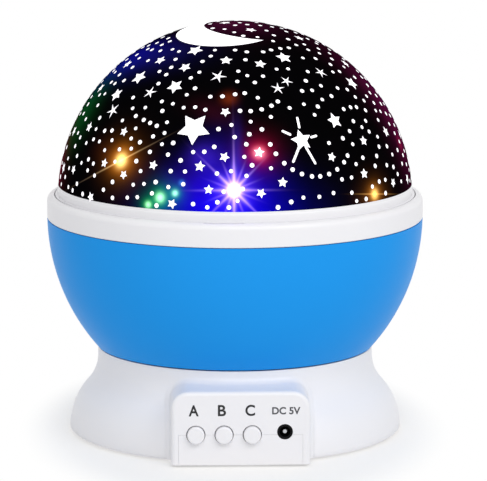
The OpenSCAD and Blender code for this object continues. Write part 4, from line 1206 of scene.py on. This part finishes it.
# the hidden corner of each section lies a little past the true one, so it ends inside the base
DEEPER = 1.14
bm = bmesh.new()
sections = []
for (x, z), (nx, nz) in console_outline(FILLET_LOW):
    height = z + BALL * nz
    radius, (out, up) = offset_flare(height, BALL)
    across = x + BALL * nx
    middle = Vector((across, -math.sqrt(radius ** 2 - across ** 2), height))
    to_console = -Vector((nx, 0, nz))
    level = Vector((middle.x, middle.y, 0)).normalized()
    to_flare = -(level * out + Vector((0, 0, up)))
    shares = [k / FILLET_STEPS for k in range(FILLET_STEPS + 1)]
    touch = [middle + BALL * to_console.slerp(to_flare, share) for share in shares]
    corner = middle + DEEPER * BALL * (to_console + to_flare) / (1 + to_console.dot(to_flare))
    sections.append([bm.verts.new(point) for point in touch + [corner]])
skin(bm, sections)
fillet = finish_mesh(bm, "console_fillet", "base", finishes["white_plastic"])

# %% [markdown]
# ## Marks on the console
#
# Each button has its letter above it, and the inlet has its voltage. The marks are printed: thin flat
# solids a few hundredths of a millimetre proud of the face.

# %% Printed marks
ink = plastic("dark_ink", (0.006, 0.006, 0.008), 0.5, grain_mm=0.15, depth_mm=0.003)
grey_ink = plastic("grey_ink", (0.06, 0.06, 0.07), 0.5, grain_mm=0.15, depth_mm=0.003)
MARK_Z = 19.4 * MM
INK_PROUD = 0.04 * MM


def mark(name, text, x, z, height, width, weight, material):
    """A printed word on the console, centred on a place, with its height and width in metres."""
    curve = bpy.data.curves.new(name, "FONT")
    curve.body, curve.size, curve.extrude, curve.offset = text, 1.0, 0.5, weight
    curve.align_x, curve.align_y = "CENTER", "CENTER"
    mesh = worked(curve, name)
    corners = np.array([v.co for v in mesh.vertices])
    low, high = corners.min(0), corners.max(0)
    middle, span = (low + high) / 2, high - low
    scale = (width / span[0], height / span[1], 2 * INK_PROUD)
    for vertex in mesh.vertices:
        u, v, w = ((vertex.co[i] - middle[i]) * scale[i] for i in range(3))
        vertex.co = (x + u, console_y - w, z + v)
    mesh.update()
    paint(mesh, material)
    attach(in_scene(name, mesh), "base")


# %% A letter over each button and the voltage over the inlet
LETTER_SHIFT, LETTER_HEIGHT, LETTER_WEIGHT = -0.7 * MM, 3.8 * MM, 0.022
LETTER_WIDTHS = {"a": 3.3 * MM, "b": 2.7 * MM, "c": 3.2 * MM}
LABEL_SHIFT, LABEL_DROP = 0.4 * MM, 0.2 * MM
LABEL_HEIGHT, LABEL_WIDTH, LABEL_WEIGHT = 2.5 * MM, 9.4 * MM, 0.026
for letter, width in LETTER_WIDTHS.items():
    low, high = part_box("button_" + letter)
    middle = (low.x + high.x) / 2 + LETTER_SHIFT
    mark("mark_" + letter, letter.upper(), middle, MARK_Z, LETTER_HEIGHT, width, LETTER_WEIGHT, ink)
low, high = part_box("jack_pin")
middle = (low.x + high.x) / 2 + LABEL_SHIFT
mark("mark_inlet", "DC 5V", middle, MARK_Z - LABEL_DROP, LABEL_HEIGHT, LABEL_WIDTH, LABEL_WEIGHT,
     grey_ink)

# %% [markdown]
# ## The floor and the light
#
# The lamp stands on a white table in soft studio light. Near the lamp the table shows a soft shadow,
# which fades to plain white in an oval that reaches further to the front and the back. From below the
# table is clear, and it lets the room's light through where the lamp stands, so that the underside can
# be looked at. The light comes from a large lamp high on the right, one high in front, a weak one on the
# left, and a white room.

# %% Floor
FLOOR_HALF = 3.0
# near the lamp the table is painted a little warmer, against the blue light that the bowl throws on it,
# and a share of painted white glow lightens its shadow there as the camera sees it
NEAR_COLOUR, FAR_COLOUR = (0.92, 0.90, 0.875), (0.9, 0.9, 0.9)
FADE_START, FADE_END = 54 * MM, 76 * MM
FADE_OVAL = (1, 0.62, 1)
NEAR_GLOW = 0.45
UNDER_LAMP = 57 * MM

floor_mesh = bpy.data.meshes.new("floor")
corners = [(x * FLOOR_HALF, y * FLOOR_HALF, 0) for x, y in ((-1, -1), (1, -1), (1, 1), (-1, 1))]
floor_mesh.from_pydata(corners, [], [(0, 1, 2, 3)])
floor = in_scene("floor", floor_mesh)

table = Finish("white_table", roughness=0.9)
oval = table.node("ShaderNodeMapping", None, {"Vector": table.place(), "Scale": FADE_OVAL})
reach = table.vector("LENGTH", oval, output="Value")
fade = table.node("ShaderNodeMapRange", {"interpolation_type": "SMOOTHSTEP"},
                  {"Value": reach, "From Min": FADE_START, "From Max": FADE_END})
table.set(base_color=table.mix(fade, NEAR_COLOUR, FAR_COLOUR))
table.cover(table.seen() * (NEAR_GLOW + fade * (1 - NEAR_GLOW)), "ShaderNodeEmission")
bounced = 1 - table.node("ShaderNodeLightPath", output="Is Camera Ray")
under_lamp = (UNDER_LAMP - table.vector("LENGTH", table.place(), output="Value")).above(0) * bounced
below = table.node("ShaderNodeNewGeometry", output="Backfacing")
table.cover(below.math("MAXIMUM", under_lamp), "ShaderNodeBsdfTransparent")
paint(floor_mesh, table)

# %% The white room
ROOM_LIGHT = 0.59
world = bpy.data.worlds.new("studio")
scene.world = world
world.use_nodes = True
room = Graph(world.node_tree)
background = world.node_tree.nodes["Background"]
background.inputs["Color"].default_value = (1, 1, 1, 1)
strength = room.node("ShaderNodeMapRange", None, {"Value": room.seen(), "To Min": ROOM_LIGHT})
room.plug(background.inputs["Strength"], strength)
print("room light", ROOM_LIGHT, "table fades from", FADE_START / MM, "to", FADE_END / MM, "mm")


# %% Lamps
AIM = Vector((0, 0, 60 * MM))


def lamp(name, place, size, power):
    """A round area light that looks at the middle of the lamp on the table."""
    light_data = bpy.data.lights.new(name, "AREA")
    light_data.shape, light_data.size, light_data.energy = "DISK", size, power
    stand(in_scene(name, light_data), place, AIM)
    print(name, "at", place, "with", power, "W")


lamp("key_light", (0.75, -0.9, 1.0), 0.7, 5.0)
lamp("front_light", (0.0, -1.05, 1.05), 0.8, 4.6)
lamp("fill_light", (-1.0, -0.7, 0.7), 0.9, 0.45)
scene.view_settings.view_transform = "Standard"
